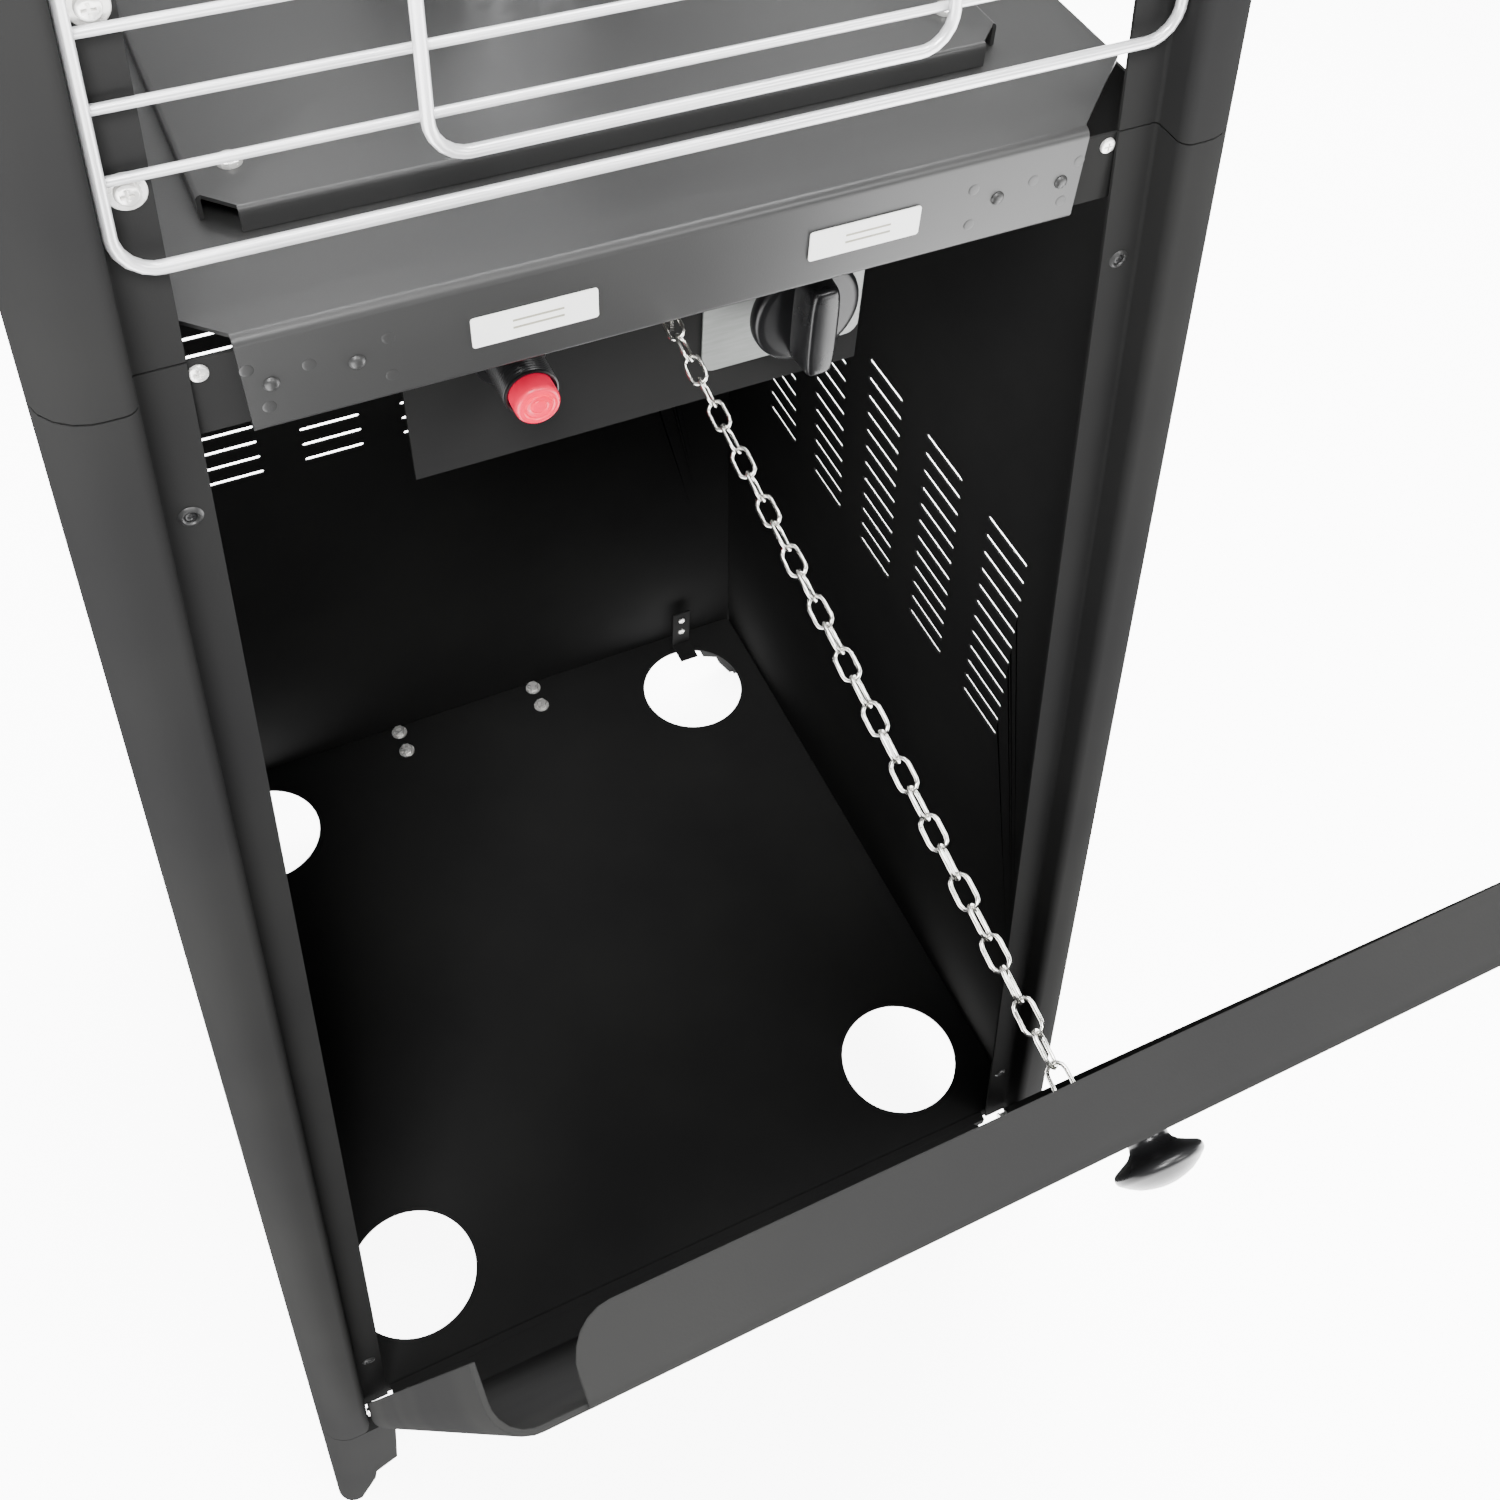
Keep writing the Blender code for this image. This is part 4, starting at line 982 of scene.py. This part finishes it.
def glass_and_top():
    low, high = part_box("glass_tube")
    outer, inner, soft = high.x, high.x - 0.0025, 0.0006
    profile = [(inner, low.z + soft), (inner + soft, low.z), (outer - soft, low.z), (outer, low.z + soft)]
    profile += [(outer, high.z - soft), (outer - soft, high.z)]
    profile += [(inner + soft, high.z), (inner, high.z - soft)]
    add("glass_tube_wall", turned(profile, 96, closed=True), "glass", stands_for=["glass_tube"])
    low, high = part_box("top_plate")
    outline = square_outline(high.x, 0.002, cut=0.020, steps=2)
    plate = at(tray(outline, 0.006, 0.002, [circle(0, 0, 0.044)]), 0, 0, high.z)
    collar = [(0.051, low.z), (0.0534, low.z), (0.053, low.z + 0.0004)]
    collar += [(0.053, high.z - 0.0016), (0.051, high.z - 0.0016)]
    shape = together([plate, turned(collar, 64, closed=True)])
    add("top_plate_skin", shape, "steel", stands_for=["top_plate"])
    low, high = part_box("flame_screen")
    base = low.z
    ring = perforated_ring(0.0472, base + 0.0040, base + 0.0280, 0.0012, 36, 3)
    flange = [(0.046, base), (0.050, base), (0.050, base + 0.0012), (0.0478, base + 0.0014)]
    flange += [(0.0472, base + 0.0022), (0.0472, base + 0.0040), (0.046, base + 0.0040)]
    dome = [(0.046, base + 0.0280), (0.0472, base + 0.0280)]
    turns = (0.3, 0.6, 0.9, 1.2)
    dome += [(0.0472 * math.cos(t), base + 0.0280 + 0.012 * math.sin(t)) for t in turns]
    dome += [(0, base + 0.040), (0, base + 0.0388)]
    dome += [(0.0460 * math.cos(t), base + 0.0280 + 0.0108 * math.sin(t)) for t in reversed(turns)]
    shape = together([ring, turned(flange, 64, closed=True), turned(dome, 64, closed=True)])
    add("flame_screen_skin", shape, "steel", stands_for=["flame_screen"])


def hood():
    """A shallow four-sided pyramid with a hemmed lip and folded hips."""
    low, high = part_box("hood")
    eave, crown, crown_z = low.z + 0.014, 0.035, high.z
    bm = bmesh.new()
    rings = [square_outline(crown - 0.006, 0.004, steps=3), square_outline(crown, 0.004, steps=3)]
    heights = [crown_z, crown_z - 0.0012]
    for k in range(1, 9):
        share = k / 8
        half = crown + (high.x - 0.003 - crown) * share
        rings.append(square_outline(half, 0.004 + 0.003 * share, steps=3))
        heights.append(crown_z - 0.0012 - (crown_z - 0.0012 - eave - 0.0012) * share)
    for half, z in ((high.x - 0.0008, eave - 0.0004), (high.x, eave - 0.0030), (high.x, low.z + 0.0012)):
        rings.append(square_outline(half, 0.007, steps=3))
        heights.append(z)
    loops = [[bm.verts.new((p.x, p.y, z)) for p in ring] for ring, z in zip(rings, heights)]
    bridge(bm, loops)
    bm.faces.new(loops[0])
    shell = thickened(bm, 0.0012, (0, 0, 1))
    hem_ring = square_outline(high.x - 0.0011, 0.0065, steps=3)
    hem = swept([(p.x, p.y, low.z + 0.0011) for p in hem_ring], 0.0011, 8, closed=True)
    add("hood_skin", together([shell, hem]), "steel", stands_for=["hood"])
    low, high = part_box("hood_cap")
    cap = [(0, 0), (0.016, 0), (0.016, 0.0010), (0.0152, 0.0020)]
    cap += [(0.0080, 0.0040), (0.0070, 0.0052), (0.0070, 0.0120)]
    cap += [(0.0062, 0.0142), (0.0040, 0.0156), (0, 0.0160)]
    add("hood_cap_nut", at(turned(cap, 48), 0, 0, low.z), "zinc", stands_for=["hood_cap"])
    bolts = []
    for side in range(4):
        for sign in (-1, 1):
            for z in (1.900, 1.880):
                x = sign * (0.2535 - lean(z))
                bolt = hex_bolt(0.0070, 0.0032, 0.0055)
                bolts.append(on_side(facing_front(bolt, x, lean(z) - POST_FACE, z), side))
    add("post_top_bolts", together(bolts), "zinc")


# Wheels.
def wheels():
    for side in ("left", "right"):
        low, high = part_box(f"wheel_{side}")
        middle = (low + high) / 2
        radius, wide = (high.z - low.z) / 2, (high.x - low.x) / 2
        tyre = [(0.0345, -wide + 0.0035), (0.0385, -wide + 0.0008)]
        tyre += [(radius - 0.0040, -wide), (radius - 0.0012, -wide + 0.0014)]
        tread = []
        for k in range(5):
            z = -0.0075 + 0.0033 * k
            tread += [(radius, z), (radius, z + 0.0018)]
            tread += [(radius - 0.0012, z + 0.0021), (radius - 0.0012, z + 0.0030)]
        tyre += tread[:-1] + [(r, -z) for r, z in reversed(tyre)]
        place = (middle.x, middle.y, middle.z)
        add(f"wheel_{side}_tyre", along_x(turned(tyre, 72, closed=True), *place), "rubber", f"wheel_{side}",
            stands_for=[f"wheel_{side}"])
        hub = [(0.0044, -wide + 0.0002), (0.0095, -wide + 0.0002), (0.0105, -wide + 0.0012)]
        hub += [(0.0105, -0.0035), (0.0285, -0.0035)]
        hub += [(0.0300, -wide + 0.0040), (0.0345, -wide + 0.0035)]
        hub += [(r, -z) for r, z in reversed(hub)]
        parts = [turned(hub, 64, closed=True)]
        for k in range(6):
            for face in (-1, 1):
                z0, z1 = sorted((face * 0.0032, face * (wide - 0.0030)))
                rib = box_shape((0.0100, -0.0012, z0), (0.0300, 0.0012, z1))
                parts.append(moved(rib, Matrix.Rotation(math.radians(60) * k, 4, "Z")))
        shape = along_x(together(parts), *place)
        add(f"wheel_{side}_hub", shape, "black_plastic", f"wheel_{side}")


# Finishes for the CAD nodes that stay as they are.
def finish_cad_nodes():
    slots = {entry["node"]: entry["material_slot"] for entry in frame["record"]["subparts"]}
    for name, node in nodes.items():
        plated = slots[name] == "zinc" and name.startswith("chain")
        look = LOOKS["chain_nickel" if plated else slots[name]]
        for place in node.material_slots:
            place.material = look


# Studio.
def area_light(name, place, target, size, power, colour=(1, 1, 1)):
    light = bpy.data.lights.new(name, "AREA")
    light.shape = "RECTANGLE"
    light.size, light.size_y = size
    light.energy = power
    light.color = colour
    lamp = bpy.data.objects.new(name, light)
    lamp.location = place
    lamp.rotation_euler = (Vector(target) - Vector(place)).to_track_quat("-Z", "Y").to_euler()
    scene.collection.objects.link(lamp)


def studio():
    bm = bmesh.new()
    reach = 8.0
    square = ((-reach, -reach), (reach, -reach), (reach, reach), (-reach, reach))
    bm.faces.new([bm.verts.new((x, y, GROUND_Z - 0.0005)) for x, y in square])
    mesh = bpy.data.meshes.new("studio_floor")
    bm.to_mesh(mesh)
    bm.free()
    mesh.materials.append(floor_material())
    floor = bpy.data.objects.new("studio_floor", mesh)
    scene.collection.objects.link(floor)
    world = bpy.data.worlds.new("studio")
    world.use_nodes = True
    world.node_tree.nodes["Background"].inputs["Color"].default_value = (0.93, 0.94, 0.95, 1)
    world.node_tree.nodes["Background"].inputs["Strength"].default_value = 0.55
    scene.world = world
    area_light("overhead", (0.3, 0.5, 3.8), (0, 0, 0.6), (2.6, 2.2), 620)
    area_light("door_light", (1.4, -2.6, 2.6), (0, -0.45, 0.7), (1.2, 1.0), 60)
    area_light("inside_light", (-0.5, -1.3, 2.3), (0, -0.05, 0.5), (0.6, 0.6), 75)


def camera():
    lens = bpy.data.cameras.new("camera")
    lens.lens = 38.466
    lens.sensor_width = 36
    lens.shift_x = -0.010
    lens.shift_y = -0.0733
    lens.clip_start = 0.01
    holder = bpy.data.objects.new("camera", lens)
    holder.location = (-0.1790, -0.5663, 1.1062)
    holder.rotation_euler = [math.radians(a) for a in (38.811, -3.332, -25.691)]
    scene.collection.objects.link(holder)
    scene.camera = holder


finish_cad_nodes()
posts()
feet()
flange_screws()
for panel_name, panel_side in (("side_panel_right", 1), ("rear_panel", 2), ("side_panel_left", 3)):
    panel(panel_name, panel_side)
base_plate()
deck()
rail_fittings()
burner_cover()
control_panel()
control_knob()
igniter()
door()
chain()
guards()
burner()
glass_and_top()
hood()
wheels()
studio()
camera()
